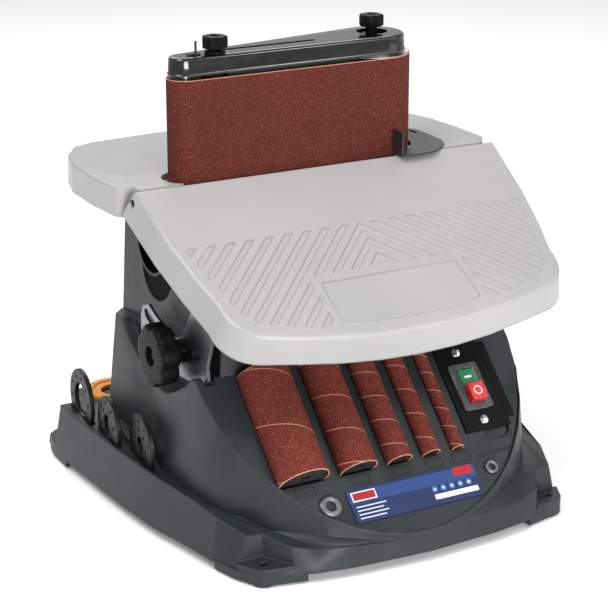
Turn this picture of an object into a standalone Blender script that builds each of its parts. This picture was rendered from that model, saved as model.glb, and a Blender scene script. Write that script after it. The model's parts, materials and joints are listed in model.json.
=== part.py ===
"""Oscillating belt and spindle sander, bench type, built as separate named sub-parts.

Metres, +Z up, origin on the floor under the middle of the base. +Y is the back.
The belt unit stands at the top of its stroke and the front table is tilted down.
"""

import math

import bpy
import bmesh

LIFT = 0.0025  # height of the rubber under the plastic feet

TABLE_TOP = 0.3315
TABLE_PLATE = 0.006
TABLE_DEPTH = 0.028
TABLE_FRONT = -0.003
DECK_TOP = 0.3025
DECK_THICK = 0.008

HINGE_Y = -0.008
HINGE_Z = 0.3205
REST_TILT = math.radians(29.2)
MAX_TILT = math.radians(45.0)
FLAP_BACK = 0.0044
FLAP_TOP = 0.011
FLAP_RIM_R = 0.004
FLAP_RIM_STEPS = 4
FLAP_BACK_SHARE = 0.3
FLAP_SKIRT = -0.017
KNUCKLE_R = 0.008
LUG_INNER = 0.181
LUG_OUTER = 0.190
EAR_INNER = 0.1912
EAR_OUTER = 0.199

BELT_THICK = 0.001
BELT_LOW = 0.3274
BELT_TOP = 0.4274
DRUM_X = 0.0819
DRUM_Y = 0.0391
DRUM_BELT_R = 0.03907
IDLER_X = -0.1316
IDLER_Y = 0.0179
IDLER_BELT_R = 0.01787
ROLLER_GAP = 0.0003
STROKE = 0.016
COVER_LOW = 0.4309
COVER_TOP = 0.4479
COVER_WALL = 0.0025
COVER_RIGHT = (0.082, 0.035)
COVER_RIGHT_R = 0.0314
COVER_LEFT = (-0.133, 0.018)
COVER_LEFT_R = 0.0144
COVER_LEAN = 99
TRACKING = (-0.102, 0.015)
LEVER = (-0.1215, 0.0145)
SPINDLE_R = 0.0063
SPINDLE_WAY = 0.0067  # bore of everything that turns with or on the spindle
SLOT_GAP = 0.0065

FASCIA_TILT = math.radians(44.0)
FASCIA_Y = -0.200
FASCIA_Z = 0.0415
RIM_HIGH = 0.004

SLEEVE_LENGTH = 0.115
SLEEVE_V = 0.111
SLEEVE_WALL = 0.0012
SLEEVES = (
    ("51", -0.105, 0.0255, 0.0046),
    ("38", -0.046, 0.0190, 0.0034),
    ("26", -0.001, 0.0130, 0.0023),
    ("19", 0.0346, 0.0095, 0.0017),
    ("13", 0.065, 0.0065, 0.0012),
)

STUD_Y = -0.014
STUD_Z = 0.1705
QUADRANT_X = 0.1555
QUADRANT_THICK = 0.003
QUADRANT_R = 0.175
QUADRANT_INNER_R = 0.138
STUD_RADIUS_PATH = math.hypot(STUD_Y - HINGE_Y, STUD_Z - HINGE_Z)
STUD_ANGLE = math.atan2(STUD_Y - HINGE_Y, HINGE_Z - STUD_Z)

MOTOR_X = DRUM_X - 0.0525
GEAR_MODULE = 0.003
GEAR_TEETH = 26
PINION_TEETH = 9
CAM_Y = 0.092
CAM_Z = 0.1885
CAM_THROW = STROKE / 2

# Stored table inserts: name, centre, outer radius, bore radius, turn about the vertical.
INSERTS = (
    ("a", -0.1980, 0.1375, 0.0760, 0.0320, 0.0176, math.radians(-3.6)),
    ("b", -0.1965, 0.0720, 0.0700, 0.0305, 0.0115, math.radians(-4.7)),
    ("c", -0.1895, 0.0085, 0.0715, 0.0310, 0.0085, math.radians(-4.5)),
)
ORANGE_SEAT = (-0.141, 0.1835)

BOLT_FRONT = (0.157, -0.183)
BOLT_REAR = (0.198, 0.191)
TAB_TOP = 0.0188

HOUSING = ((0.062, 0.067, 0.070), 0.55, 0.0)
BLACK = ((0.012, 0.012, 0.013), 0.35, 0.0)
GLOSS = ((0.008, 0.008, 0.009), 0.12, 0.0)
CAST = ((0.56, 0.54, 0.53), 0.38, 0.35)
ZINC = ((0.55, 0.55, 0.56), 0.30, 0.9)
STEEL = ((0.60, 0.60, 0.61), 0.25, 1.0)
ABRASIVE = ((0.14, 0.034, 0.025), 0.85, 0.0)
RUBBER = ((0.02, 0.02, 0.02), 0.8, 0.0)
CLEAR = ((0.70, 0.72, 0.74), 0.12, 0.0)
GREEN = ((0.03, 0.30, 0.09), 0.3, 0.0)
RED = ((0.50, 0.02, 0.02), 0.3, 0.0)
ORANGE = ((0.80, 0.32, 0.05), 0.45, 0.0)
BLUE = ((0.03, 0.12, 0.42), 0.3, 0.0)
BRONZE = ((0.35, 0.20, 0.07), 0.35, 0.9)


def clear_scene():
    for obj in list(bpy.data.objects):
        bpy.data.objects.remove(obj, do_unlink=True)


def make_material(name, colour, roughness, metallic):
    material = bpy.data.materials.new(name)
    material.use_nodes = True
    shader = material.node_tree.nodes["Principled BSDF"]
    shader.inputs["Base Color"].default_value = (*colour, 1.0)
    shader.inputs["Roughness"].default_value = roughness
    shader.inputs["Metallic"].default_value = metallic
    return material


def add_mesh(name, points, faces, finish):
    mesh = bpy.data.meshes.new(name)
    mesh.from_pydata(points, [], faces)
    shape = bmesh.new()
    shape.from_mesh(mesh)
    bmesh.ops.recalc_face_normals(shape, faces=shape.faces)
    shape.to_mesh(mesh)
    shape.free()
    obj = bpy.data.objects.new(name, mesh)
    bpy.context.scene.collection.objects.link(obj)
    if finish:
        mesh.materials.append(make_material(name, *finish))
    return obj


def strip_faces(level_a, level_b, count):
    faces = []
    for k in range(count):
        after = (k + 1) % count
        faces.append((level_a + k, level_a + after, level_b + after, level_b + k))
    return faces


def loft(name, rings, finish=None):
    """Solid through a stack of rings of equal point count, closed by its first and last ring."""
    count = len(rings[0])
    points = [point for ring in rings for point in ring]
    last = len(points) - count
    faces = [tuple(range(count)), tuple(range(last, last + count))]
    for level in range(len(rings) - 1):
        faces += strip_faces(level * count, (level + 1) * count, count)
    return add_mesh(name, points, faces, finish)


def band(name, rings, finish=None):
    """Closed band through rings of equal point count, the last one joined to the first."""
    count = len(rings[0])
    points = [point for ring in rings for point in ring]
    faces = []
    for level in range(len(rings)):
        faces += strip_faces(level * count, (level + 1) % len(rings) * count, count)
    return add_mesh(name, points, faces, finish)


def at_height(outline, z):
    return [(x, y, z) for x, y in outline]


def prism(name, outline, low, high, finish=None):
    return loft(name, [at_height(outline, low), at_height(outline, high)], finish)


def side_prism(name, outline, x_low, x_high, finish=None):
    """Prism along X of an outline given as (y, z) points."""
    rings = [[(x, y, z) for y, z in outline] for x in (x_low, x_high)]
    return loft(name, rings, finish)


def box(name, low, high, finish=None):
    corners = [(low[0], low[1]), (high[0], low[1]), (high[0], high[1]), (low[0], high[1])]
    return prism(name, corners, low[2], high[2], finish)


def arc(centre, radius, start, end, steps):
    """Points from start to end, angles in degrees."""
    points = []
    for k in range(steps + 1):
        angle = math.radians(start + (end - start) * k / steps)
        points.append((centre[0] + radius * math.cos(angle), centre[1] + radius * math.sin(angle)))
    return points


def circle(radius, count, centre=(0.0, 0.0)):
    return arc(centre, radius, 0, 360, count)[:-1]


def lobed(radius, depth, lobes, per_lobe, phase=0.0):
    points = []
    count = lobes * per_lobe
    for k in range(count):
        angle = 2 * math.pi * k / count
        reach = radius - depth / 2 + depth / 2 * math.cos(lobes * angle + phase)
        points.append((reach * math.cos(angle), reach * math.sin(angle)))
    return points


def turned(name, profile, count, finish=None, bored=False):
    """Round piece about Z from (radius, z) points; bored closes the profile on itself."""
    rings = [at_height(circle(radius, count), z) for radius, z in profile]
    obj = (band if bored else loft)(name, rings, finish)
    smooth(obj)
    return obj


def smooth(obj):
    obj.data.shade_smooth()
    obj.data.set_sharp_from_angle(angle=math.radians(35))


def mirrored(half):
    """Closed outline from its right half, which starts and ends on x = 0."""
    left = [(-x, y) for x, y in reversed(half[1:-1])]
    return half + left


def place(obj, location=(0.0, 0.0, 0.0), rotation=(0.0, 0.0, 0.0), parent=None):
    obj.location = location
    obj.rotation_euler = rotation
    if parent:
        obj.parent = parent
    return obj


def anchor(name, location, rotation=(0.0, 0.0, 0.0)):
    empty = bpy.data.objects.new(name, None)
    bpy.context.scene.collection.objects.link(empty)
    return place(empty, location, rotation)


def combine(obj, tool, operation):
    tool.hide_render = True
    tool.display_type = "WIRE"
    modifier = obj.modifiers.new(operation.lower(), "BOOLEAN")
    modifier.operation = operation
    modifier.solver = "EXACT"
    modifier.object = tool
    return obj


def cut(obj, tool):
    return combine(obj, tool, "DIFFERENCE")


def fuse(obj, tool):
    return combine(obj, tool, "UNION")


def drill(obj, name, radius, low, high, centre, count=16):
    tool = prism(name, circle(radius, count), low, high)
    return cut(obj, place(tool, (centre[0], centre[1], 0.0)))


def across(name, radius, x_low, x_high, centre, count, finish=None):
    """Cylinder along X about centre = (y, z)."""
    return side_prism(name, circle(radius, count, centre), x_low, x_high, finish)


def interpolate(table, value):
    for (low, at_low), (high, at_high) in zip(table, table[1:]):
        if value <= high:
            return at_low + (at_high - at_low) * (value - low) / (high - low)
    return table[-1][1]


# ---------------------------------------------------------------- base housing

FLANGE_HALF = [
    (0.0, -0.219), (0.077, -0.2145), (0.115, -0.208), (0.150, -0.195), (0.173, -0.176),
    (0.188, -0.139), (0.196, -0.095), (0.206, -0.048), (0.212, 0.012), (0.216, 0.088),
    (0.218, 0.139), (0.217, 0.180), (0.213, 0.199), (0.200, 0.209), (0.110, 0.216), (0.0, 0.219),
]
FLANGE_HEIGHTS = [
    (-0.219, 0.0235), (-0.2145, 0.0295), (-0.201, 0.0345), (-0.168, 0.0455), (-0.095, 0.0565),
    (-0.040, 0.0595), (0.220, 0.0595),
]
FLANGE_LOW = 0.0099
WALL_LEAN = 0.0652  # how far the tower's wall comes in for each unit of height
TOWER_WIDTHS = [(0.050, 0.149), (0.1625, 0.146), (0.2545, 0.140), (DECK_TOP, 0.137)]


def body_plan(wide, deep, rear, back):
    """Plan of the lower block: half ellipse at the front, narrower behind."""
    front = [(wide * math.cos(a), -0.063 + deep * math.sin(a))
             for a in (math.radians(-90 + 10 * k) for k in range(10))]
    half = front + [(wide, -0.018), (rear, 0.040), (rear, back - 0.012), (rear - 0.012, back)]
    return mirrored(half + [(0.0, back)])


def tower_solid(name, profile, inset):
    rings = []
    for side in (-1, 1):
        ring = [(side * (interpolate(TOWER_WIDTHS, z) - inset), y, z) for y, z in profile]
        rings.append(ring)
    return loft(name, rings)


def fascia_tool(name, low, high, parent):
    return place(box(name, low, high), parent=parent)


def make_lower_block(fascia):
    rings = [
        at_height(body_plan(0.181, 0.152, 0.168, 0.152), 0.012),
        at_height(body_plan(0.181, 0.152, 0.168, 0.152), 0.0595),
        at_height(body_plan(0.172, 0.142, 0.158, 0.150), 0.1625),
    ]
    block = loft("lower_block", rings)
    cut(block, fascia_tool("fascia_cut", (-0.3, -0.1, RIM_HIGH), (0.3, 0.5, 0.3), fascia))
    panel = prism("fascia_recess", ellipse(0.174, 0.208, 0.190, 48), 0.0, 0.02)
    cut(block, place(panel, parent=fascia))
    for side in (-1, 1):
        pocket = across(f"quadrant_pocket_{side}", 0.138, 0.147, 0.230, (0.026, 0.2625), 48)
        pocket.scale.x = side
        cut(block, pocket)
        groove = across(f"quadrant_groove_{side}", 0.178, 0.151, 0.163, (HINGE_Y, HINGE_Z), 48)
        groove.scale.x = side
        cut(block, groove)
    return block


def ellipse(wide, deep, centre_v, count):
    return [(wide * x, centre_v + deep * y) for x, y in circle(1.0, count)]


def make_cavity(fascia):
    low = prism("low_cavity", body_plan(0.165, 0.122, 0.152, 0.146), -0.01, 0.1185)
    cut(low, fascia_tool("cavity_limit", (-0.3, -0.1, -0.026), (0.3, 0.5, 0.3), fascia))
    profile = [(-0.071, 0.062), (-0.071, 0.2155), (-0.006, DECK_TOP - DECK_THICK),
               (0.146, DECK_TOP - DECK_THICK), (0.146, 0.062)]
    return low, tower_solid("tower_cavity", profile, 0.0045)


def cut_fascia(base, fascia):
    for label, x, radius, rise in SLEEVES:
        trough = prism(f"trough_{label}", circle(radius + 0.0007, 28), -0.0586, 0.0586)
        place(trough, (x, SLEEVE_V, rise), (math.radians(90), 0, 0), fascia)
        cut(base, trough)
    cut(base, fascia_tool("switch_pocket", (0.0945, 0.0925, -0.017), (0.1165, 0.1335, 0.02), fascia))
    cut(base, fascia_tool("finger_scoop", (0.101, 0.056, -0.003), (0.129, 0.0665, 0.02), fascia))


def cut_storage(base):
    for label, x, y, z, radius, _, turn in INSERTS:
        slot = box(f"slot_{label}", (-0.0033, -radius + 0.0005, -0.036), (0.0033, radius - 0.0005, 0.05))
        cut(base, place(slot, (x, y, z), (0, 0, turn)))
    cut(base, place(prism("insert_seat", circle(0.0325, 28), 0.0565, 0.08), (*ORANGE_SEAT, 0)))


def port_recess():
    """Upright round-ended recess behind the dust port, with its floor parallel to the leaning wall."""
    outline = arc((0.0695, 0.258), 0.036, 0, 180, 14) + arc((0.0695, 0.231), 0.036, 180, 360, 14)
    outer = [(-0.170, y, z) for y, z in outline]
    floor = [(-0.1428 + WALL_LEAN * (z - 0.1625), y, z) for y, z in outline]
    return loft("port_recess", [outer, floor])


def make_base_housing(fascia):
    outer = mirrored(FLANGE_HALF)
    upper = [(0.96 * x, 0.985 * y, interpolate(FLANGE_HEIGHTS, y)) for x, y in outer]
    base = loft("base_housing", [at_height(outer, FLANGE_LOW), upper], HOUSING)
    fuse(base, make_lower_block(fascia))
    profile = [(-0.075, 0.100), (-0.075, 0.2175), (-0.005, DECK_TOP), (0.150, DECK_TOP), (0.150, 0.100)]
    fuse(base, tower_solid("tower", profile, 0.0))
    corner = [(0.1450, -0.1990)] + arc(BOLT_FRONT, 0.0135, -70, -15, 5)
    front_pad = [(0.122, -0.2045)] + corner + [(0.179, -0.168), (0.186, -0.141), (0.160, -0.141),
                                               (0.122, -0.180)]
    plate = [(0.1335, -0.2010)] + corner + [(0.1775, -0.1701), (0.1504, -0.1687)]
    rear_pad = [(0.217, 0.142), (0.216, 0.180), (0.212, 0.198), (0.200, 0.208), (0.165, 0.2105),
                (0.165, 0.142)]
    front_tab = [(0.1504, -0.1687), (0.205, -0.1701), (0.205, -0.240), (0.1106, -0.240)]
    rear_tab = [(0.180, 0.173), (0.240, 0.173), (0.240, 0.240), (0.180, 0.240)]
    for side in (-1, 1):
        for label, outline, top in (("front_pad", front_pad, 0.012), ("rear_pad", rear_pad, 0.012),
                                    ("front_plate", plate, TAB_TOP)):
            turned_outline = [(side * x, y) for x, y in outline]
            fuse(base, prism(f"{label}_{side}", turned_outline, LIFT, top))
        boss = across(f"stud_boss_{side}", 0.016, 0.143, 0.152, (STUD_Y, STUD_Z), 24)
        boss.scale.x = side
        fuse(base, boss)
        for label, outline in (("front", front_tab), ("rear", rear_tab)):
            turned_outline = [(side * x, y) for x, y in outline]
            cut(base, prism(f"{label}_tab_{side}", turned_outline, TAB_TOP, 0.08))
        for label, (x, y) in (("front", BOLT_FRONT), ("rear", BOLT_REAR)):
            drill(base, f"{label}_bolt_{side}", 0.004, -0.01, 0.03, (side * x, y))
    for cavity in make_cavity(fascia):
        cut(base, cavity)
    drill(base, "bush_hole", 0.0223, 0.28, 0.32, (DRUM_X, DRUM_Y), 28)
    drill(base, "guide_hole", 0.0056, 0.28, 0.32, (-0.095, 0.025))
    cut(base, port_recess())
    cut(base, across("port_hole", 0.0333, -0.170, -0.100, (0.065, 0.2555), 32))
    cut_fascia(base, fascia)
    cut_storage(base)
    return base


def make_bottom_cover():
    cover = prism("bottom_cover", body_plan(0.1645, 0.1215, 0.1515, 0.1455), 0.0112, 0.0142, BLACK)
    for k in range(5):
        vent = box(f"vent_{k}", (-0.04, 0.03 + 0.014 * k, 0.0), (0.04, 0.036 + 0.014 * k, 0.03))
        cut(cover, vent)
    return cover


def make_feet():
    profile = [(0.011, 0.0), (0.011, LIFT - 0.0003), (0.005, LIFT - 0.0003), (0.005, 0.0)]
    for label, (x, y) in (("front", BOLT_FRONT), ("rear", BOLT_REAR)):
        for side_name, side in (("left", -1), ("right", 1)):
            foot = turned(f"foot_{label}_{side_name}", profile, 20, RUBBER, bored=True)
            place(foot, (side * x, y, 0.0))


# ---------------------------------------------------------------------- tables


def slot_outline():
    """Edge of the belt opening from its front right tip round the back to its front left tip."""
    right = DRUM_BELT_R + SLOT_GAP
    left = IDLER_BELT_R + SLOT_GAP
    lean = back_lean()
    start = math.degrees(math.asin((TABLE_FRONT - DRUM_Y) / right))
    end = 180 - math.degrees(math.asin((TABLE_FRONT - IDLER_Y) / left))
    return arc((DRUM_X, DRUM_Y), right, start, 90 + lean, 12) + arc(
        (IDLER_X, IDLER_Y), left, 90 + lean, end, 8)


def back_lean():
    """Angle in degrees by which the straight back run of the belt leans forward to the left."""
    reach_x = DRUM_X - IDLER_X
    reach_y = DRUM_Y - IDLER_Y
    rise = DRUM_BELT_R - IDLER_BELT_R
    return math.degrees(math.atan2(reach_y, reach_x) + math.asin(rise / math.hypot(reach_x, reach_y)))


def make_rear_table():
    right = [(0.1906, TABLE_FRONT), (0.1906, 0.009)] + arc((0.1945, 0.0160), 0.007, -80, -10, 4)
    right += [(0.2015, 0.060), (0.198, 0.110), (0.188, 0.145), (0.172, 0.172), (0.153, 0.182),
              (0.080, 0.190), (0.0, 0.192)]
    left = [(-0.080, 0.191), (-0.158, 0.185), (-0.181, 0.175), (-0.199, 0.148), (-0.209, 0.112),
            (-0.211, 0.062), (-0.2085, 0.030)] + arc((-0.1985, 0.0180), 0.009, 190, 262, 4)
    left += [(-0.1906, 0.009), (-0.1906, TABLE_FRONT)]
    outline = right + left + list(reversed(slot_outline()))
    lower = [(x * 1.004, y + 0.001) if y > 0.1 else (x, y) for x, y in outline]
    table = loft("rear_table", [at_height(lower, TABLE_TOP - TABLE_DEPTH),
                                at_height(outline, TABLE_TOP)], CAST)
    half = [(0.0, 0.004), (0.184, 0.004), (0.184, 0.015), (0.1965, 0.015), (0.197, 0.060),
            (0.194, 0.109), (0.1845, 0.142), (0.169, 0.167), (0.152, 0.176), (0.079, 0.184), (0.0, 0.186)]
    cut(table, prism("table_cavity", mirrored(half), 0.29, TABLE_TOP - TABLE_PLATE))
    blocks = (("rear_boss", (-0.125, 0.128), (0.125, 0.142)), ("left_boss", (-0.134, 0.060), (-0.118, 0.076)),
              ("right_boss", (0.104, 0.092), (0.128, 0.106)))
    for name, low, high in blocks:
        fuse(table, box(name, (*low, DECK_TOP + 0.0003), (*high, TABLE_TOP - 0.003)))
    for side in (-1, 1):
        knuckle = [(0.002, HINGE_Z + 0.009)] + arc((HINGE_Y, HINGE_Z), KNUCKLE_R, 70, 290, 10)
        knuckle += [(0.002, HINGE_Z - 0.009)]
        lug = side_prism(f"lug_{side}", knuckle, LUG_INNER, LUG_OUTER)
        lug.scale.x = side
        fuse(table, lug)
        hole = across(f"lug_hole_{side}", 0.0043, 0.170, 0.1905, (HINGE_Y, HINGE_Z), 16)
        hole.scale.x = side
        cut(table, hole)
    return table


def flap_outline(grow):
    """Right half of the front table seen from above, in its own flat position."""
    corner = arc((0.1395 + grow, FLAP_BACK - 0.1595 - grow), 0.040, 8, -78, 8)
    back = FLAP_BACK + FLAP_BACK_SHARE * min(grow, 0.0)
    half = [(0.0, back), (EAR_OUTER + grow, back), (0.194 + grow, FLAP_BACK - 0.070),
            (0.187 + grow, FLAP_BACK - 0.118)]
    half += corner
    for x in (0.120, 0.080, 0.040, 0.0):
        half.append((x, FLAP_BACK - 0.220 - grow + 0.022 * (x / 0.150) ** 2))
    return mirrored(half)


def make_front_table(tilt):
    rings = [at_height(flap_outline(0.006), FLAP_SKIRT)]
    for k in range(FLAP_RIM_STEPS + 1):
        turn = 0.5 * math.pi * k / FLAP_RIM_STEPS
        inset = FLAP_RIM_R * (1 - math.cos(turn))
        height = FLAP_TOP - FLAP_RIM_R * (1 - math.sin(turn))
        rings.append(at_height(flap_outline(-inset), height))
    table = loft("front_table", rings, CAST)
    half = [(0.0, 0.020), (EAR_INNER, 0.020), (EAR_INNER, -0.014), (0.188, -0.066), (0.181, -0.114),
            (0.174, -0.153), (0.165, -0.178), (0.150, -0.188), (0.080, -0.2035), (0.0, -0.209)]
    cut(table, prism("flap_cavity", mirrored(half), -0.05, FLAP_TOP - TABLE_PLATE))
    for side in (-1, 1):
        ear = [(FLAP_BACK - 0.001, 0.0085), (0.009, 0.002), (0.008, -0.008), (-0.012, -0.027),
               (-0.024, -0.027), (-0.045, -0.016), (-0.045, 0.007)]
        plate = side_prism(f"ear_{side}", ear, EAR_INNER, EAR_OUTER - 0.0035)
        plate.scale.x = side
        fuse(table, plate)
        notch = box(f"notch_{side}", (0.1804, -0.0105, -0.03),
                    (EAR_INNER - 0.0001, 0.02, KNUCKLE_R + 0.0004))
        notch.scale.x = side
        cut(table, notch)
        hole = across(f"ear_hole_{side}", 0.0043, 0.185, 0.210, (0.0, 0.0), 16)
        hole.scale.x = side
        cut(table, hole)
    for obj in [table] + [m.object for m in table.modifiers]:
        place(obj, parent=tilt)
    return table


def make_hinge_pins():
    for label, side in (("left", -1), ("right", 1)):
        x_low, x_high = sorted((side * 0.1812, side * 0.1986))
        pin = across(f"hinge_pin_{label}", 0.004, x_low, x_high, (0.0, 0.0), 16, STEEL)
        smooth(place(pin, (0.0, HINGE_Y, HINGE_Z)))


def sector_point(radius, angle):
    """Point (y, z) at an angle measured from straight down towards the back."""
    return (radius * math.sin(angle), -radius * math.cos(angle))


def sector_arc(radius, start, end, steps):
    return [sector_point(radius, math.radians(start + (end - start) * k / steps))
            for k in range(steps + 1)]


def make_quadrants(tilt):
    outline = sector_arc(QUADRANT_R, -1.5, -52, 16)
    outline += [(-0.130, -0.095), (-0.1265, -0.065), (-0.118, -0.030), (-0.118, 0.0047)]
    outline += [(-0.083, 0.0047), (-0.0795, -0.078), (-0.0765, -0.108)]
    outline += sector_arc(QUADRANT_INNER_R, -30, -2.2, 8)
    outline += [sector_point(0.150, math.radians(1.6)), sector_point(0.1625, math.radians(0.9))]
    first = math.degrees(STUD_ANGLE) + 0.4
    last = math.degrees(STUD_ANGLE - MAX_TILT) - 0.4
    half = 0.0047
    slot = sector_arc(STUD_RADIUS_PATH + half, first, last, 14)
    slot.append(sector_point(STUD_RADIUS_PATH, math.radians(last - 1.8)))
    slot += sector_arc(STUD_RADIUS_PATH - half, last, first, 14)
    slot.append(sector_point(STUD_RADIUS_PATH, math.radians(first + 1.8)))
    for label, side in (("left", -1), ("right", 1)):
        x_low, x_high = sorted((side * QUADRANT_X, side * (QUADRANT_X + QUADRANT_THICK)))
        plate = side_prism(f"quadrant_{label}", outline, x_low, x_high, ZINC)
        hole = side_prism(f"quadrant_slot_{label}", slot, x_low - 0.005, x_high + 0.005)
        cut(plate, hole)
        place(plate, parent=tilt)
        place(hole, parent=tilt)


def make_lock_parts():
    star = lobed(0.031, 0.0042, 7, 4)
    bore = circle(0.0044, 28)
    rings = [at_height(bore, 0.0), at_height([(0.5 * x, 0.5 * y) for x, y in star], 0.0),
             at_height([(0.55 * x, 0.55 * y) for x, y in star], 0.008),
             at_height(star, 0.010), at_height(star, 0.025),
             at_height([(0.88 * x, 0.88 * y) for x, y in star], 0.029), at_height(bore, 0.029)]
    for label, side in (("left", -1), ("right", 1)):
        quarter = side * math.pi / 2
        knob = band(f"lock_knob_{label}", rings, BLACK)
        smooth(place(knob, (side * 0.160, STUD_Y, STUD_Z), (0, quarter, 0)))
        stud = turned(f"lock_stud_{label}", [(0.004, 0.0), (0.004, 0.033)], 16, STEEL)
        place(stud, (side * 0.1523, STUD_Y, STUD_Z), (0, quarter, 0))


# ------------------------------------------------------------------- belt unit


def belt_outline(inward, count):
    """Closed line round drum and idler, moved inward by the given distance."""
    lean = back_lean()
    drum = arc((DRUM_X, DRUM_Y), DRUM_BELT_R - inward, -90, 90 + lean, count)
    idler = arc((IDLER_X, IDLER_Y), IDLER_BELT_R - inward, 90 + lean, 270, count)
    return drum + idler


def make_belt():
    outer = belt_outline(0.0, 14)
    inner = belt_outline(BELT_THICK, 14)
    belt = band("sanding_belt", [at_height(outer, BELT_LOW), at_height(outer, BELT_TOP),
                                 at_height(inner, BELT_TOP), at_height(inner, BELT_LOW)], ABRASIVE)
    smooth(belt)


def make_belt_frame():
    frame = prism("belt_frame", belt_outline(0.003, 10), 0.3198, 0.3245, BLACK)
    fuse(frame, box("platen", (-0.110, BELT_THICK + 0.0005, 0.322), (0.038, 0.020, 0.4272)))
    fuse(frame, box("cover_post", (-0.090, 0.010, 0.42), (0.030, 0.022, 0.4435)))
    fuse(frame, place(prism("guide_pin", circle(0.005, 16), 0.280, 0.321), (-0.095, 0.025, 0)))
    fuse(frame, place(prism("carriage_tube", circle(0.014, 24), 0.234, 0.3215), (DRUM_X, DRUM_Y, 0)))
    fuse(frame, box("yoke_arm", (DRUM_X - 0.007, 0.050, 0.2342), (DRUM_X + 0.007, 0.086, 0.2445)))
    fuse(frame, box("yoke_plate", (DRUM_X - 0.022, 0.084, 0.166), (DRUM_X + 0.022, 0.088, 0.2449)))
    half = 0.0115
    window_low = (DRUM_X - half, 0.07, CAM_Z - half)
    window_high = (DRUM_X + half, 0.1, CAM_Z + 0.0275)
    cut(frame, box("yoke_window", window_low, window_high))
    drill(frame, "spindle_way", 0.0082, 0.2, 0.34, (DRUM_X, DRUM_Y), 20)
    return frame


def cover_outline(inward):
    right = arc(COVER_RIGHT, COVER_RIGHT_R - inward, -90, COVER_LEAN, 12)
    left = arc(COVER_LEFT, COVER_LEFT_R - inward, COVER_LEAN, 270, 8)
    return right + left


def make_top_cover():
    rings = [at_height(cover_outline(-0.0008), COVER_LOW),
             at_height(cover_outline(0.0006), COVER_TOP - 0.0012),
             at_height(cover_outline(0.0018), COVER_TOP)]
    cover = loft("belt_cover", rings, GLOSS)
    cut(cover, prism("cover_cavity", cover_outline(COVER_WALL), 0.42, COVER_TOP - 0.003))
    drill(cover, "knob_hole", 0.0155, 0.40, 0.46, (DRUM_X, 0.037), 28)
    drill(cover, "tracking_hole", 0.0064, 0.40, 0.46, TRACKING)
    return cover


def make_rollers():
    drum = DRUM_BELT_R - BELT_THICK - ROLLER_GAP
    profile = [(SPINDLE_WAY, 0.327), (drum, 0.327), (drum, 0.4272), (SPINDLE_WAY, 0.4272)]
    place(turned("drive_drum", profile, 32, RUBBER, bored=True), (DRUM_X, DRUM_Y, 0))
    idler = IDLER_BELT_R - BELT_THICK - ROLLER_GAP
    profile = [(0.0053, 0.327), (idler, 0.327), (idler, 0.4272), (0.0053, 0.4272)]
    place(turned("idler_roller", profile, 24, STEEL, bored=True), (IDLER_X, IDLER_Y, 0))
    place(turned("idler_axle", [(0.005, 0.3248), (0.005, 0.4305)], 16, STEEL), (IDLER_X, IDLER_Y, 0))
    washer = [(SPINDLE_WAY, 0.4276), (0.0140, 0.4276), (0.0140, 0.4312), (SPINDLE_WAY, 0.4312)]
    place(turned("drum_washer", washer, 24, STEEL, bored=True), (DRUM_X, DRUM_Y, 0))
    place(turned("spindle", [(SPINDLE_R, 0.2270), (SPINDLE_R, 0.4410)], 20, STEEL), (DRUM_X, DRUM_Y, 0))


def make_unit_knobs():
    head = lobed(0.0123, 0.0022, 7, 4)
    stem = circle(0.0056, 28)
    flange = circle(0.0100, 28)
    drum_rings = [at_height(stem, 0.4413), at_height(stem, 0.4560), at_height(head, 0.4570),
                  at_height(head, 0.4635), at_height([(0.86 * x, 0.86 * y) for x, y in head], 0.4645)]
    knob = loft("drum_knob", drum_rings, BLACK)
    smooth(place(knob, (DRUM_X, DRUM_Y, 0)))
    tracking_rings = [at_height(flange, 0.4482), at_height(flange, 0.4502), at_height(stem, 0.4506)]
    tracking_rings += drum_rings[1:]
    smooth(place(loft("tracking_knob", tracking_rings, BLACK), (*TRACKING, 0)))
    lever = turned("tension_lever", [(0.0045, 0.4482), (0.0045, 0.4500), (0.0011, 0.4502), (0.0011, 0.4612)],
                   12, STEEL)
    fuse(lever, place(box("lever_arm", (-0.009, -0.0016, 0.4484), (0.0, 0.0016, 0.4498)), (*LEVER, 0)))
    place(lever, (*LEVER, 0))


def make_belt_stop():
    low = TABLE_TOP + 0.0006
    plate_outline = [(0.0835, -0.022), (0.121, -0.022), (0.147, 0.002), (0.1525, 0.023), (0.154, 0.048),
                     (0.152, 0.077), (0.116, 0.074)]
    plate_outline += arc((DRUM_X, DRUM_Y), DRUM_BELT_R + 0.0025, 44, -87.5, 12)
    stop = prism("belt_stop", plate_outline, low, low + 0.002, BLACK)
    fuse(stop, box("stop_upright", (0.0836, -0.0219, low + 0.001), (0.0856, -0.003, low + 0.025)))
    screw_slot = box("stop_slot", (-0.002, -0.007, 0.32), (0.002, 0.007, 0.35))
    cut(stop, place(screw_slot, (0.145, 0.058, 0.0)))
    return stop


# -------------------------------------------------------------- drive internals


def gear_outline(teeth, phase):
    pitch = 360 / teeth
    radius = GEAR_MODULE * teeth / 2
    points = []
    for k in range(teeth):
        middle = pitch * k + phase
        for reach, offset in ((-0.0034, -0.30), (0.0024, -0.11), (0.0024, 0.11), (-0.0034, 0.30)):
            angle = math.radians(middle + offset * pitch)
            points.append(((radius + reach) * math.cos(angle), (radius + reach) * math.sin(angle)))
    return points


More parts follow.
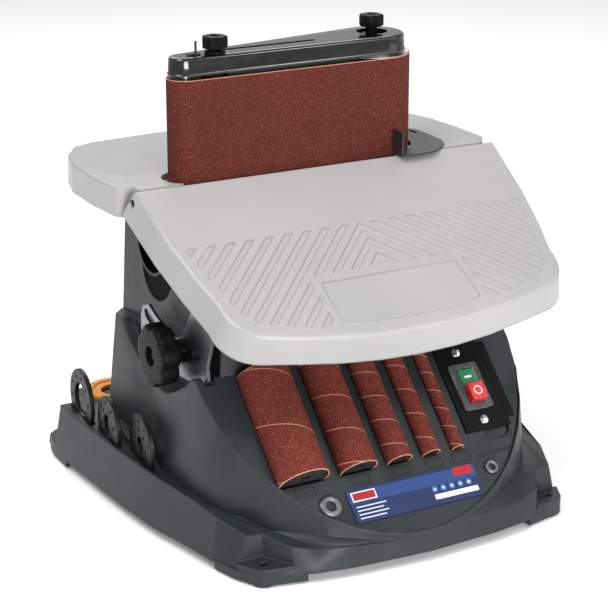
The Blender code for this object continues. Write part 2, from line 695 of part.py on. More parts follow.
def make_drive():
    gear = prism("spindle_gear", gear_outline(GEAR_TEETH, 180 / GEAR_TEETH), 0.2095, 0.2245, BRONZE)
    place(gear, (DRUM_X, DRUM_Y, 0))
    pinion = prism("motor_pinion", gear_outline(PINION_TEETH, 0), 0.1895, 0.2285, STEEL)
    fuse(pinion, place(prism("motor_shaft", circle(0.006, 16), 0.1783, 0.191), (MOTOR_X, DRUM_Y, 0)))
    place(pinion, (MOTOR_X, DRUM_Y, 0))
    motor = turned("motor_body", [(0.034, 0.062), (0.042, 0.068), (0.042, 0.172), (0.034, 0.178)], 28, STEEL)
    place(motor, (MOTOR_X, DRUM_Y, 0))
    plate = box("gear_plate", (-0.136, -0.010, 0.1825), (0.136, 0.080, 0.1868), ZINC)
    drill(plate, "shaft_way", 0.009, 0.17, 0.20, (MOTOR_X, DRUM_Y))
    bush = [(0.0143, 0.268), (0.030, 0.268), (0.030, 0.2942), (0.022, 0.2942), (0.022, 0.3022),
            (0.0143, 0.3022)]
    place(turned("spindle_bush", bush, 24, BRONZE, bored=True), (DRUM_X, DRUM_Y, 0))
    wheel = turned("cam_wheel", [(0.020, 0.0), (0.020, 0.008), (0.005, 0.008), (0.005, 0.0535)], 24, STEEL)
    pin = prism("cam_pin", circle(0.003, 12), -0.007, 0.002)
    fuse(wheel, place(pin, (DRUM_X, CAM_Y, CAM_Z + CAM_THROW), (math.radians(-90), 0, 0)))
    place(wheel, (DRUM_X, CAM_Y, CAM_Z), (math.radians(-90), 0, 0))


# ------------------------------------------------------------- ports and fascia


def make_ports():
    tube = [(0.0295, 0.0), (0.0330, 0.0), (0.0330, 0.026), (0.0295, 0.026)]
    place(turned("dust_port", tube, 28, BLACK, bored=True), (-0.1500, 0.065, 0.2555), (0, math.pi / 2, 0))
    gland = [(0.004, 0.0), (0.009, 0.0), (0.007, 0.014), (0.004, 0.014)]
    gland_obj = turned("cord_gland", gland, 16, RUBBER, bored=True)
    place(gland_obj, (-0.060, 0.1530, 0.090), (math.radians(-90), 0, 0))


def make_sleeves(fascia):
    along = (math.radians(90), 0, 0)
    half = SLEEVE_LENGTH / 2
    for label, x, radius, rise in SLEEVES:
        inner = radius - SLEEVE_WALL
        profile = [(inner, -half), (radius, -half), (radius, half), (inner, half)]
        sleeve = turned(f"sleeve_{label}", profile, 24, ABRASIVE, bored=True)
        place(sleeve, (x, SLEEVE_V, rise), along, fascia)
        core = inner - 0.0003
        if core < 0.007:
            continue
        end = half - 0.002
        profile = [(0.0064, -end), (core, -end), (core, end), (0.0064, end)]
        place(turned(f"drum_{label}", profile, 20, RUBBER, bored=True), (x, SLEEVE_V, rise), along, fascia)


def window_frame(name, low, high, hole_low, hole_high, base, top, finish):
    outer = [(low[0], low[1]), (high[0], low[1]), (high[0], high[1]), (low[0], high[1])]
    inner = [(hole_low[0], hole_low[1]), (hole_high[0], hole_low[1]), (hole_high[0], hole_high[1]),
             (hole_low[0], hole_high[1])]
    return band(name, [at_height(outer, base), at_height(outer, top), at_height(inner, top),
                       at_height(inner, base)], finish)


def make_switch(fascia):
    hole_low = (0.0960, 0.0940)
    hole_high = (0.1150, 0.1320)
    plate = window_frame("switch_plate", (0.0806, 0.066), (0.132, 0.160), hole_low, hole_high,
                         0.0003, 0.0023, BLACK)
    surround = window_frame("switch_surround", (0.0885, 0.0875), (0.1205, 0.1370), hole_low, hole_high,
                            0.0026, 0.0056, CLEAR)
    body = box("switch_body", (0.0950, 0.0930, -0.0165), (0.1160, 0.1330, -0.0100), BLACK)
    start = box("start_button", (0.0970, 0.1140, -0.0060), (0.1140, 0.1310, 0.0046), GREEN)
    stop = box("stop_button", (0.0970, 0.0950, -0.0060), (0.1140, 0.1130, 0.0120), RED)
    for obj in (plate, surround, body, start, stop):
        place(obj, parent=fascia)
    dome = [(0.0050, 0.0026), (0.0044, 0.0040), (0.0022, 0.0048)]
    for label, v in (("upper", 0.150), ("lower", 0.076)):
        place(turned(f"switch_screw_{label}", dome, 16, STEEL), (0.104, v, 0), parent=fascia)


def make_fascia_items(fascia):
    place(box("label_plate", (-0.067, 0.0028, 0.0003), (0.073, 0.0370, 0.0013), BLUE), parent=fascia)
    for label, x, v, radius in (("large", -0.086, 0.026, 0.011), ("small", 0.092, 0.028, 0.0075)):
        profile = [(0.5 * radius, 0.0003), (radius, 0.0003), (radius, 0.003), (0.5 * radius, 0.003)]
        place(turned(f"washer_{label}", profile, 20, STEEL, bored=True), (x, v, 0), parent=fascia)


def make_inserts():
    for label, x, y, z, radius, inner, turn in INSERTS:
        profile = [(inner, -0.0025), (radius, -0.0025), (radius, 0.0025), (inner, 0.0025)]
        insert = turned(f"insert_{label}", profile, 28, BLACK, bored=True)
        place(insert, (x, y, z), (0, math.pi / 2, turn))
    profile = [(0.016, 0.0568), (0.031, 0.0568), (0.031, 0.0628), (0.016, 0.0628)]
    place(turned("insert_orange", profile, 28, ORANGE, bored=True), (*ORANGE_SEAT, 0))


def build():
    clear_scene()
    fascia = anchor("fascia_frame", (0.0, FASCIA_Y, FASCIA_Z), (FASCIA_TILT, 0, 0))
    tilt = anchor("tilt_axis", (0.0, HINGE_Y, HINGE_Z), (REST_TILT, 0, 0))
    make_base_housing(fascia)
    make_bottom_cover()
    make_feet()
    make_rear_table()
    make_front_table(tilt)
    make_hinge_pins()
    make_quadrants(tilt)
    make_lock_parts()
    make_belt()
    make_belt_frame()
    make_top_cover()
    make_rollers()
    make_unit_knobs()
    make_belt_stop()
    make_drive()
    make_ports()
    make_sleeves(fascia)
    make_switch(fascia)
    make_fascia_items(fascia)
    make_inserts()


build()
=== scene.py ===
"""Looks of the oscillating belt and spindle sander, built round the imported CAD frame. Metres, +Z up."""

import json
import math

import bmesh
import bpy
from mathutils import Matrix, Vector

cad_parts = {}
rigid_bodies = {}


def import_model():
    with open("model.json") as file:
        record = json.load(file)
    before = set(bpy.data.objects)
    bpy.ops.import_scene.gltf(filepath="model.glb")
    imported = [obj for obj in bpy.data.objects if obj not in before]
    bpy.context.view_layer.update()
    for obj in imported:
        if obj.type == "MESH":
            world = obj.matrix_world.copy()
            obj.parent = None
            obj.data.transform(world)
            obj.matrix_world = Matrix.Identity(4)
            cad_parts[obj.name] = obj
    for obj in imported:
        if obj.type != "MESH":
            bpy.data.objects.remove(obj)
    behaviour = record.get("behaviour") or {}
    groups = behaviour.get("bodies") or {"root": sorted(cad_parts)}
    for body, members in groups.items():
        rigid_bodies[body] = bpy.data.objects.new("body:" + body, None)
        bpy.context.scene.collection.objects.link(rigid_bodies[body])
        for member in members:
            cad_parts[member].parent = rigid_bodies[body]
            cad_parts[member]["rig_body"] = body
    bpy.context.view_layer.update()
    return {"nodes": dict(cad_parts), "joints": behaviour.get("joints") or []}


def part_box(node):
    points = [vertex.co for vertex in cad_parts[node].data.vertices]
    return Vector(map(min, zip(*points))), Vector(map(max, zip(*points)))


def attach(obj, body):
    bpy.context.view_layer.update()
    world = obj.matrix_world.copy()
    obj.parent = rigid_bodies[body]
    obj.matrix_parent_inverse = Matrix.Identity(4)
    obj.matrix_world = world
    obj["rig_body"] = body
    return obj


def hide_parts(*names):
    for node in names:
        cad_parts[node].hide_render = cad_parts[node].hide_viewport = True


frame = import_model()
nodes = frame["nodes"]

MM = 0.001
TAU = 2 * math.pi

# Places that follow from the CAD: the tilted front table and the sloping front panel.
joints = {joint["name"]: joint for joint in frame["joints"]}
HINGE = Vector(joints["table_tilt"]["pos_m"])
REST_TILT = math.radians(-joints["table_tilt"]["range_deg"][0])
PRESS_AXIS = Vector(joints["start_press"]["axis"]).normalized()
FLAP = Matrix.Translation(HINGE) @ Matrix.Rotation(REST_TILT, 4, "X")
FLAP_TOP = 0.011
FLAP_BACK = 0.0044
PANEL_TILT = math.atan2(PRESS_AXIS.y, -PRESS_AXIS.z)
PANEL_FOOT = (0.0, -0.200, 0.0415)
PANEL = Matrix.Translation(PANEL_FOOT) @ Matrix.Rotation(PANEL_TILT, 4, "X")
FLAT = Matrix.Identity(4)
RIGHT_ANGLE = math.pi / 2


# ---------------------------------------- materials

NOISE_ROUGHNESS = 0.55
ROUNDING_SAMPLES = 6


class Paint:
    """A Principled material with short ways to add its texture nodes."""

    def __init__(self, name, roughness=0.5, metallic=0.0, specular=0.5, coat=0.0, coat_roughness=0.1):
        self.material = bpy.data.materials.new(name)
        self.material.use_nodes = True
        self.tree = self.material.node_tree
        self.shader = self.tree.nodes["Principled BSDF"]
        self.set("Roughness", roughness)
        self.set("Metallic", metallic)
        self.set("Specular IOR Level", specular)
        self.set("Coat Weight", coat)
        self.set("Coat Roughness", coat_roughness)
        self.place = self.tree.nodes.new("ShaderNodeTexCoord").outputs["Object"]

    def set(self, socket, value):
        self.shader.inputs[socket].default_value = value

    def link(self, source, target):
        self.tree.links.new(source, target)

    def noise(self, scale, detail=3.0, stretch=None):
        node = self.tree.nodes.new("ShaderNodeTexNoise")
        node.inputs["Scale"].default_value = scale
        node.inputs["Detail"].default_value = detail
        node.inputs["Roughness"].default_value = NOISE_ROUGHNESS
        self.link(self.stretched(stretch) if stretch else self.place, node.inputs["Vector"])
        return node.outputs["Fac"]

    def stretched(self, stretch):
        node = self.tree.nodes.new("ShaderNodeMapping")
        node.inputs["Scale"].default_value = stretch
        self.link(self.place, node.inputs["Vector"])
        return node.outputs["Vector"]

    def axes(self):
        """The three sockets that give a point's place in the object's own metres."""
        node = self.tree.nodes.new("ShaderNodeSeparateXYZ")
        self.link(self.place, node.inputs["Vector"])
        return node.outputs["X"], node.outputs["Y"], node.outputs["Z"]

    def ramp(self, factor, stops):
        """Colour at that factor, from (position, colour) stops."""
        node = self.tree.nodes.new("ShaderNodeValToRGB")
        ramp = node.color_ramp
        while len(ramp.elements) < len(stops):
            ramp.elements.new(0.5)
        for element, (position, colour) in zip(ramp.elements, stops):
            element.position = position
            element.color = (*colour, 1.0)
        self.link(factor, node.inputs["Fac"])
        return node.outputs["Color"]

    def math(self, operation, a, b=None):
        node = self.tree.nodes.new("ShaderNodeMath")
        node.operation = operation
        for socket, value in zip(node.inputs, (a, b)):
            if value is None:
                continue
            if isinstance(value, (int, float)):
                socket.default_value = value
            else:
                self.link(value, socket)
        return node.outputs["Value"]

    def spread(self, factor, low, high, start=0.3, end=0.7):
        """Value from low to high as the factor goes from start to end."""
        node = self.tree.nodes.new("ShaderNodeMapRange")
        node.inputs["From Min"].default_value = start
        node.inputs["From Max"].default_value = end
        node.inputs["To Min"].default_value = low
        node.inputs["To Max"].default_value = high
        self.link(factor, node.inputs["Value"])
        return node.outputs["Result"]

    def mix(self, factor, a, b):
        node = self.tree.nodes.new("ShaderNodeMix")
        node.data_type = "RGBA"
        self.link(factor, node.inputs["Factor"])
        for socket, value in ((node.inputs["A"], a), (node.inputs["B"], b)):
            if isinstance(value, tuple):
                socket.default_value = (*value, 1.0)
            else:
                self.link(value, socket)
        return node.outputs["Result"]

    def colour(self, source):
        self.link(source, self.shader.inputs["Base Color"])

    def roughness(self, source):
        self.link(source, self.shader.inputs["Roughness"])

    def bump(self, height, distance, strength, rounding=0.0):
        """Bump of that depth over the surface, whose edges look rounded by the rounding radius."""
        node = self.tree.nodes.new("ShaderNodeBump")
        if rounding:
            soft = self.tree.nodes.new("ShaderNodeBevel")
            soft.samples = ROUNDING_SAMPLES
            soft.inputs["Radius"].default_value = rounding
            self.link(soft.outputs["Normal"], node.inputs["Normal"])
        node.inputs["Distance"].default_value = distance
        node.inputs["Strength"].default_value = strength
        self.link(height, node.inputs["Height"])
        self.link(node.outputs["Normal"], self.shader.inputs["Normal"])


def srgb(*values):
    """Linear colour from 0 to 255 display values."""
    found = []
    for value in values:
        share = value / 255
        found.append(share / 12.92 if share <= 0.04045 else ((share + 0.055) / 1.055) ** 2.4)
    return tuple(found)


def moulded(name, dark, light, roughness, grain=900.0, specular=0.4, rounding=0.0):
    """Moulded plastic: faint cloudy tone, spark-eroded grain, uneven sheen."""
    paint = Paint(name, roughness, specular=specular)
    paint.colour(paint.ramp(paint.noise(9.0, 4.0), [(0.3, dark), (0.7, light)]))
    paint.roughness(paint.spread(paint.noise(45.0, 5.0), roughness - 0.03, roughness + 0.04))
    paint.bump(paint.noise(grain, 2.0), 0.05 * MM, 0.5, rounding)
    return paint.material


def cast_paint(name):
    """Light warm grey powder coat with a fine orange peel and tiny darker specks."""
    paint = Paint(name, 0.4, specular=0.6)
    tone = paint.ramp(paint.noise(6.0, 3.0), [(0.3, srgb(156, 155, 155)), (0.7, srgb(166, 165, 164))])
    specks = paint.spread(paint.noise(1500.0, 2.0), 0.0, 0.5, 0.58, 0.75)
    paint.colour(paint.mix(specks, tone, srgb(130, 128, 126)))
    paint.roughness(paint.spread(paint.noise(60.0, 4.0), 0.28, 0.38))
    peel = paint.math("ADD", paint.noise(420.0, 2.0), paint.noise(1400.0, 2.0))
    paint.bump(peel, 0.14 * MM, 0.4, 3.0 * MM)
    return paint.material


GRAIN_SCALE = 900.0
GRAIN_DEPTH = 0.25 * MM
GRAIN_STRENGTH = 0.7


def grit_paint(name):
    """Start of a coated abrasive: rough and nearly without shine."""
    return Paint(name, 0.8, specular=0.18)


def grit_colour(paint, dull=srgb(76, 27, 20), bright=srgb(88, 34, 26), contrast=0.5):
    """Brick red bonded grains with dark hollows and a few pale ones."""
    tone = paint.ramp(paint.noise(14.0, 3.0), [(0.3, dull), (0.7, bright)])
    dark = paint.spread(paint.noise(750.0, 3.0), 0.0, contrast, 0.46, 0.62)
    tone = paint.mix(dark, tone, srgb(48, 17, 14))
    pale = paint.spread(paint.noise(1000.0, 2.0), 0.0, contrast, 0.57, 0.68)
    return paint.mix(pale, tone, srgb(170, 104, 88))


def belt_material(name, low, high):
    """Abrasive with its pale cloth backing showing along both cut edges."""
    paint = grit_paint(name)
    up = paint.axes()[2]
    ragged = paint.math("MULTIPLY", paint.noise(260.0, 3.0), 0.9 * MM)
    from_top = paint.math("SUBTRACT", high, up)
    from_low = paint.math("SUBTRACT", up, low)
    edge = paint.math("LESS_THAN", paint.math("MINIMUM", from_top, from_low), ragged)
    paint.colour(paint.mix(edge, grit_colour(paint), srgb(196, 142, 118)))
    paint.bump(paint.noise(GRAIN_SCALE), GRAIN_DEPTH, GRAIN_STRENGTH)
    return paint.material


ABOVE_ZERO = 20  # whole turns added so that the helix count never goes below zero


def sleeve_material(name, length, pitch, phase):
    """Abrasive wound in a helix about local Z, with a pale line along the seam and at both rims.

    The pitch is in metres for each turn, and the phase in turns.
    """
    paint = grit_paint(name)
    x, y, z = paint.axes()
    turn = paint.math("MULTIPLY", paint.math("ARCTAN2", y, x), 1 / TAU)
    rise = paint.math("MULTIPLY", z, 1 / pitch)
    along = paint.math("FRACT", paint.math("ADD", paint.math("ADD", turn, rise), ABOVE_ZERO + phase))
    wobble = paint.math("MULTIPLY", paint.noise(300.0, 3.0), 1.0 * MM / pitch)
    seam = paint.math("LESS_THAN", along, paint.math("ADD", wobble, 0.15 * MM / pitch))
    ends = paint.math("SUBTRACT", length / 2, paint.math("ABSOLUTE", z))
    rim = paint.math("LESS_THAN", ends, paint.math("MULTIPLY", paint.noise(350.0, 2.0), 1.1 * MM))
    pale = paint.math("MAXIMUM", seam, rim)
    # Lighter tones than the belt's abrasive: painted light, lifting the sleeves that sit in shade under the
    # front table.
    grit = grit_colour(paint, srgb(102, 40, 33), srgb(116, 49, 40), 0.75)
    paint.colour(paint.mix(pale, grit, srgb(201, 146, 120)))
    lap = paint.math("MULTIPLY", paint.math("SUBTRACT", 1.0, along), 0.5)
    paint.bump(paint.math("ADD", paint.noise(GRAIN_SCALE), lap), GRAIN_DEPTH, GRAIN_STRENGTH)
    return paint.material


def brushed(name, tone, roughness, stretch=(1.0, 1.0, 30.0)):
    """Bare or plated metal with fine directional scratches and faint blotches."""
    paint = Paint(name, roughness, metallic=1.0)
    scratches = paint.noise(700.0, 3.0, stretch)
    blotch = paint.noise(30.0, 4.0)
    light = tuple(min(1.0, 1.15 * value) for value in tone)
    paint.colour(paint.ramp(blotch, [(0.3, tone), (0.7, light)]))
    paint.roughness(paint.spread(scratches, roughness - 0.06, roughness + 0.14))
    paint.bump(scratches, 0.03 * MM, 0.3)
    return paint.material


def rubber(name):
    """Dull black rubber with a dusty bloom."""
    paint = Paint(name, 0.75, specular=0.3)
    tone = srgb(48, 50, 50)
    dark = tuple(0.6 * value for value in tone)
    paint.colour(paint.ramp(paint.noise(120.0, 5.0), [(0.35, dark), (0.65, tone)]))
    paint.bump(paint.noise(600.0, 3.0), 0.1 * MM, 0.5)
    return paint.material


def glossy(name, dark, light, roughness):
    """Polished plastic with a little haze and handling marks in its shine."""
    paint = Paint(name, roughness, coat=0.5, coat_roughness=0.08)
    paint.colour(paint.ramp(paint.noise(20.0, 3.0), [(0.35, dark), (0.65, light)]))
    paint.roughness(paint.spread(paint.noise(90.0, 5.0), roughness, roughness + 0.12))
    paint.bump(paint.noise(160.0, 2.0), 0.02 * MM, 0.3)
    return paint.material


def clear_plastic(name):
    """Soft clear plastic, slightly cloudy."""
    paint = Paint(name, 0.08)
    paint.set("Transmission Weight", 0.92)
    paint.set("IOR", 1.42)
    cloudy = [(0.3, (0.55, 0.58, 0.60)), (0.7, (0.66, 0.69, 0.71))]
    paint.colour(paint.ramp(paint.noise(40.0, 3.0), cloudy))
    paint.roughness(paint.spread(paint.noise(80.0, 4.0), 0.05, 0.16))
    return paint.material


# The label, in metres on the sloping panel: left, right, low, high and colour of each block.
LABEL_BAND = (-0.067, 0.073, 0.0225, 0.0345)
LABEL_BLOCKS = (((-0.063, -0.037, 0.0240, 0.0335), srgb(232, 232, 232)),
                ((-0.0618, -0.0382, 0.0250, 0.0325), srgb(158, 20, 26)),
                ((0.049, 0.070, 0.0270, 0.0355), srgb(172, 20, 26)),
                ((0.021, 0.069, 0.0085, 0.0135), srgb(240, 240, 238)))
LINE_COUNT = 4
LINE_LEFT = -0.062
LINE_RIGHT = -0.030
LINE_SHORTER = 0.004
LINE_TOP = 0.0180
LINE_PITCH = 0.0038
LINE_HEIGHT = 0.0011
DISC_COUNT = 5
DISC_X = 0.0235
DISC_PITCH = 0.0095
DISC_Y = 0.0188
DISCS = ((3.1 * MM, srgb(66, 112, 172)), (1.1 * MM, srgb(232, 238, 244)))


def label_material(name):
    """Generic plate: a blue field with a lighter band, plain blocks, short lines and a row of discs."""
    paint = Paint(name, 0.4, specular=0.25, coat=0.1)
    across, up, _ = paint.axes()

    def inside(left, right, low, high):
        tests = (paint.math("GREATER_THAN", across, left), paint.math("LESS_THAN", across, right),
                 paint.math("GREATER_THAN", up, low), paint.math("LESS_THAN", up, high))
        found = tests[0]
        for test in tests[1:]:
            found = paint.math("MULTIPLY", found, test)
        return found

    field = paint.ramp(paint.noise(30.0, 2.0), [(0.3, srgb(13, 32, 76)), (0.7, srgb(17, 38, 86))])
    tone = paint.mix(inside(*LABEL_BAND), field, srgb(30, 62, 118))
    for place, colour in LABEL_BLOCKS:
        tone = paint.mix(inside(*place), tone, colour)
    for row in range(LINE_COUNT):
        low = LINE_TOP - LINE_PITCH * row
        right = LINE_RIGHT - LINE_SHORTER * (row % 2)
        tone = paint.mix(inside(LINE_LEFT, right, low, low + LINE_HEIGHT), tone, srgb(200, 208, 222))
    for k in range(DISC_COUNT):
        away_x = paint.math("SUBTRACT", across, DISC_X + DISC_PITCH * k)
        away_y = paint.math("SUBTRACT", up, DISC_Y)
        away = paint.math("SQRT", paint.math("ADD", paint.math("MULTIPLY", away_x, away_x),
                                             paint.math("MULTIPLY", away_y, away_y)))
        for radius, colour in DISCS:
            tone = paint.mix(paint.math("LESS_THAN", away, radius), tone, colour)
    paint.colour(tone)
    paint.roughness(paint.spread(paint.noise(70.0, 3.0), 0.26, 0.38))
    return paint.material


HOUSING = moulded("housing_plastic", srgb(31, 36, 38), srgb(38, 43, 45), 0.44, rounding=2.2 * MM)
BLACK = moulded("black_plastic", srgb(14, 14, 15), srgb(22, 22, 23), 0.42, specular=0.3, rounding=0.5 * MM)
# Painted shade: a darker, nearly sheenless housing plastic, laid in the recess under the dust port where
# shadow falls.
RECESS_SHADE = moulded("recess_painted_shade", srgb(24, 26, 27), srgb(30, 32, 33), 0.7, specular=0.04)
KNOB = moulded("knob_plastic", srgb(12, 11, 11), srgb(18, 17, 17), 0.38, specular=0.08, rounding=0.8 * MM)
FENCE = moulded("fence_paint", srgb(36, 34, 34), srgb(46, 43, 42), 0.4, grain=500.0)
SWITCH = moulded("switch_plastic", srgb(10, 10, 11), srgb(15, 15, 16), 0.5, specular=0.12)
GLOSS = glossy("cover_gloss", srgb(8, 8, 9), srgb(15, 15, 17), 0.12)
CAST = cast_paint("table_paint")
ZINC = brushed("zinc_plate", (0.24, 0.255, 0.27), 0.28, stretch=(1.0, 6.0, 6.0))
STEEL = brushed("steel", (0.62, 0.62, 0.63), 0.28)
DARK_STEEL = brushed("dark_steel", (0.045, 0.045, 0.048), 0.4)
CHROME = brushed("chrome", (0.85, 0.85, 0.86), 0.08)
RUBBER = rubber("rubber")
ORANGE = moulded("orange_plastic", srgb(210, 134, 16), srgb(222, 146, 26), 0.42)
GREEN = glossy("green_plastic", srgb(24, 112, 74), srgb(34, 130, 88), 0.25)
RED = glossy("red_plastic", srgb(196, 30, 34), srgb(218, 44, 46), 0.22)
WHITE = moulded("white_ink", srgb(232, 232, 230), srgb(246, 246, 244), 0.4)
BRONZE = brushed("bronze", (0.45, 0.30, 0.13), 0.35)
CLEAR = clear_plastic("clear_plastic")
WASHER = brushed("washer_steel", (0.16, 0.165, 0.17), 0.42)


# ---------------------------------------- meshes

BEVEL_ANGLE = 32.0
SAME_POINT = 1e-6
FLAT_ANGLE = 1.0


def shade(mesh, angle):
    """Smooth faces that break at edges sharper than the angle, in degrees."""
    mesh.shade_smooth()
    mesh.set_sharp_from_angle(angle=math.radians(angle))


def make_object(name, shape, material, matrix=None, smooth_angle=35.0):
    """Object from a bmesh, which is used up."""
    mesh = bpy.data.meshes.new(name)
    bmesh.ops.recalc_face_normals(shape, faces=shape.faces)
    shape.to_mesh(mesh)
    shape.free()
    mesh.materials.append(material)
    shade(mesh, smooth_angle)
    obj = bpy.data.objects.new(name, mesh)
    bpy.context.scene.collection.objects.link(obj)
    if matrix:
        obj.matrix_world = matrix
    return obj


def add_bevel(obj, width, segments):
    bevel = obj.modifiers.new("edges", "BEVEL")
    bevel.width = width
    bevel.segments = segments
    bevel.limit_method = "ANGLE"
    bevel.angle_limit = math.radians(BEVEL_ANGLE)
    bevel.harden_normals = True


def body_of(node):
    return nodes[node]["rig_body"]


def refined(node, material, bevel, segments):
    """Copy of a CAD node with its flat faces joined, smooth curves and rounded edges."""
    shape = bmesh.new()
    shape.from_mesh(nodes[node].data)
    bmesh.ops.remove_doubles(shape, verts=shape.verts, dist=SAME_POINT)
    flat = math.radians(FLAT_ANGLE)
    bmesh.ops.dissolve_limit(shape, angle_limit=flat, verts=shape.verts, edges=shape.edges)
    obj = make_object(f"{node}_look", shape, material)
    if bevel:
        add_bevel(obj, bevel, segments)
    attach(obj, body_of(node))
    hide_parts(node)


def band(name, rings, material, matrix=None, closed=False, smooth_angle=35.0):
    """Surface through rings of equal point count.

    closed joins the last ring to the first. Otherwise both ends are capped.
    """
    shape = bmesh.new()
    levels = [[shape.verts.new(point) for point in ring] for ring in rings]
    count = len(rings[0])
    pairs = list(zip(levels, levels[1:]))
    if closed:
        pairs.append((levels[-1], levels[0]))
    for low, high in pairs:
        for k in range(count):
            after = (k + 1) % count
            shape.faces.new((low[k], low[after], high[after], high[k]))
    if not closed:
        shape.faces.new(levels[0])
        shape.faces.new(levels[-1])
    return make_object(name, shape, material, matrix, smooth_angle)


def rectangle(left, right, low, high):
    return [(left, low), (right, low), (right, high), (left, high)]


def circle(radius, count, centre=(0.0, 0.0)):
    angles = [TAU * k / count for k in range(count)]
    return [(centre[0] + radius * math.cos(a), centre[1] + radius * math.sin(a)) for a in angles]


def turned(name, profile, material, matrix, count):
    """Ring turned about local Z from a closed profile of (radius, z)."""
    rings = [[(x, y, z) for x, y in circle(radius, count)] for radius, z in profile]
    return band(name, rings, material, matrix, closed=True)


def inward(outline, distance):
    """Outline moved inward by the same distance along both neighbouring edges of each point."""
    turn = 1 if signed_area(outline) > 0 else -1
    found = []
    for before, here, after in zip(outline[-1:] + outline[:-1], outline, outline[1:] + outline[:1]):
        a = (Vector(here) - Vector(before)).normalized()
        b = (Vector(after) - Vector(here)).normalized()
        normal = Vector((-a.y - b.y, a.x + b.x)) * turn
        reach = distance / max(0.35, 0.5 * normal.length)
        found.append(tuple(Vector(here) + normal.normalized() * reach))
    return found


def signed_area(outline):
    total = 0.0
    for (x0, y0), (x1, y1) in zip(outline, outline[1:] + outline[:1]):
        total += x0 * y1 - x1 * y0
    return total / 2


SHOULDER_IN = 0.4
SHOULDER_UP = 0.75


def raised(name, outlines, material, matrix, low, high, slope):
    """Flat-topped raised shapes with rounded sloping sides, from outlines in the matrix's own plane.

    slope is how far the sides lean in.
    """
    shape = bmesh.new()
    for outline in outlines:
        levels = ((outline, low),
                  (inward(outline, SHOULDER_IN * slope), low + SHOULDER_UP * (high - low)),
                  (inward(outline, slope), high))
        rings = [[shape.verts.new((x, y, z)) for x, y in points] for points, z in levels]
        count = len(outline)
        for lower, upper in zip(rings, rings[1:]):
            for k in range(count):
                after = (k + 1) % count
                shape.faces.new((lower[k], lower[after], upper[after], upper[k]))
        shape.faces.new(rings[-1])
        shape.faces.new(rings[0][::-1])
    return make_object(name, shape, material, matrix, smooth_angle=20.0)


def carve(obj, cutters):
    """Cuts the closed cutter objects out of obj's mesh, then removes them."""
    for cutter in cutters:
        step = obj.modifiers.new("cut", "BOOLEAN")
        step.operation = "DIFFERENCE"
        step.solver = "EXACT"
        step.object = cutter
    bpy.context.view_layer.update()
    graph = bpy.context.evaluated_depsgraph_get()
    mesh = bpy.data.meshes.new_from_object(obj.evaluated_get(graph))
    obj.modifiers.clear()
    obj.data = mesh
    for cutter in cutters:
        bpy.data.objects.remove(cutter)


def block(name, outline, low, high, matrix=FLAT, material=HOUSING):
    """Straight-sided solid over an outline, to cut with or to show."""
    rings = [[(x, y, z) for x, y in outline] for z in (low, high)]
    return band(name, rings, material, matrix)


# ---------------------------------------- front table

# Metres across from the middle of the table (x) and forward from its back edge (s). The ribs run at
# 45 degrees from RIB_BACK: the outer parts, beyond x = RIB_SIDE, end at SIDE_EDGE, and the inner ones
# at RIB_MIDDLE_END.
RIB_BACK = 0.081
RIB_PITCH = 0.0198
RIB_WIDTH = 0.0098
RIB_START = -0.0490
RIB_COUNT = 12
RIB_REACH = 0.30
RIB_SIDE = 0.081
RIB_MIDDLE_END = 0.137
RIB_CORNER = 2.2 * MM
RIB_LEAST_AREA = 6e-6
RIB_SUNK = 0.4 * MM
RIB_HEIGHT = 0.3 * MM
RIB_SLOPE = 0.4 * MM
ON_MIDDLE = 1e-6
PAD_TOP_X = 0.0727
PAD_TOP_S = 0.1462
PAD_BOW_X = 0.0745
PAD_BOW_S = 0.1935
PAD_BOW_DEPTH = 0.0098
PAD_BOW_STEPS = 12
PAD_CORNER = 3.0 * MM
SIDE_EDGE = ((0.183, 0.081), (0.1805, 0.0915), (0.1738, 0.1255), (0.1695, 0.1420), (0.1660, 0.1590),
             (0.1605, 0.1710), (0.1510, 0.1790), (0.1380, 0.1860), (0.1220, 0.1907), (0.1060, 0.1943),
             (0.0910, 0.1975), (0.081, 0.1988))


def clip(outline, normal, limit):
    """Part of a convex outline where the dot product with normal is at most limit."""
    kept = []
    for here, after in zip(outline, outline[1:] + outline[:1]):
        a = here[0] * normal[0] + here[1] * normal[1] - limit
        b = after[0] * normal[0] + after[1] * normal[1] - limit
        if a <= 0:
            kept.append(here)
        if a * b < 0:
            share = a / (a - b)
            kept.append((here[0] + share * (after[0] - here[0]), here[1] + share * (after[1] - here[1])))
    return kept


def rib_pieces(start):
    """Outlines of the outer and inner parts of the right-hand rib that starts at that x."""
    strip = [(start + t, RIB_BACK + t) for t in (0.0, RIB_REACH)]
    strip += [(start + RIB_WIDTH + t, RIB_BACK + t) for t in (RIB_REACH, 0.0)]
    side = clip(strip, (-1, 0), -RIB_SIDE)
    for (x0, s0), (x1, s1) in zip(SIDE_EDGE, SIDE_EDGE[1:]):
        if not side:
            break
        normal = (s1 - s0, -(x1 - x0))
        if normal[0] < 0:
            normal = (-normal[0], -normal[1])
        side = clip(side, normal, normal[0] * x0 + normal[1] * s0)
    middle = clip(clip(clip(strip, (1, 0), RIB_SIDE), (0, 1), RIB_MIDDLE_END), (-1, 0), 0.0)
    return [piece for piece in (side, middle) if len(piece) > 2]


def rounded(outline, radius, steps=3):
    """Outline with its corners turned into short curves."""
    found = []
    for before, here, after in zip(outline[-1:] + outline[:-1], outline, outline[1:] + outline[:1]):
        a = Vector(before) - Vector(here)
        b = Vector(after) - Vector(here)
        reach = min(radius, 0.45 * a.length, 0.45 * b.length)
        start = Vector(here) + a.normalized() * reach
        end = Vector(here) + b.normalized() * reach
        for k in range(steps + 1):
            t = k / steps
            point = start * (1 - t) ** 2 + Vector(here) * 2 * t * (1 - t) + end * t ** 2
            found.append(tuple(point))
    return found


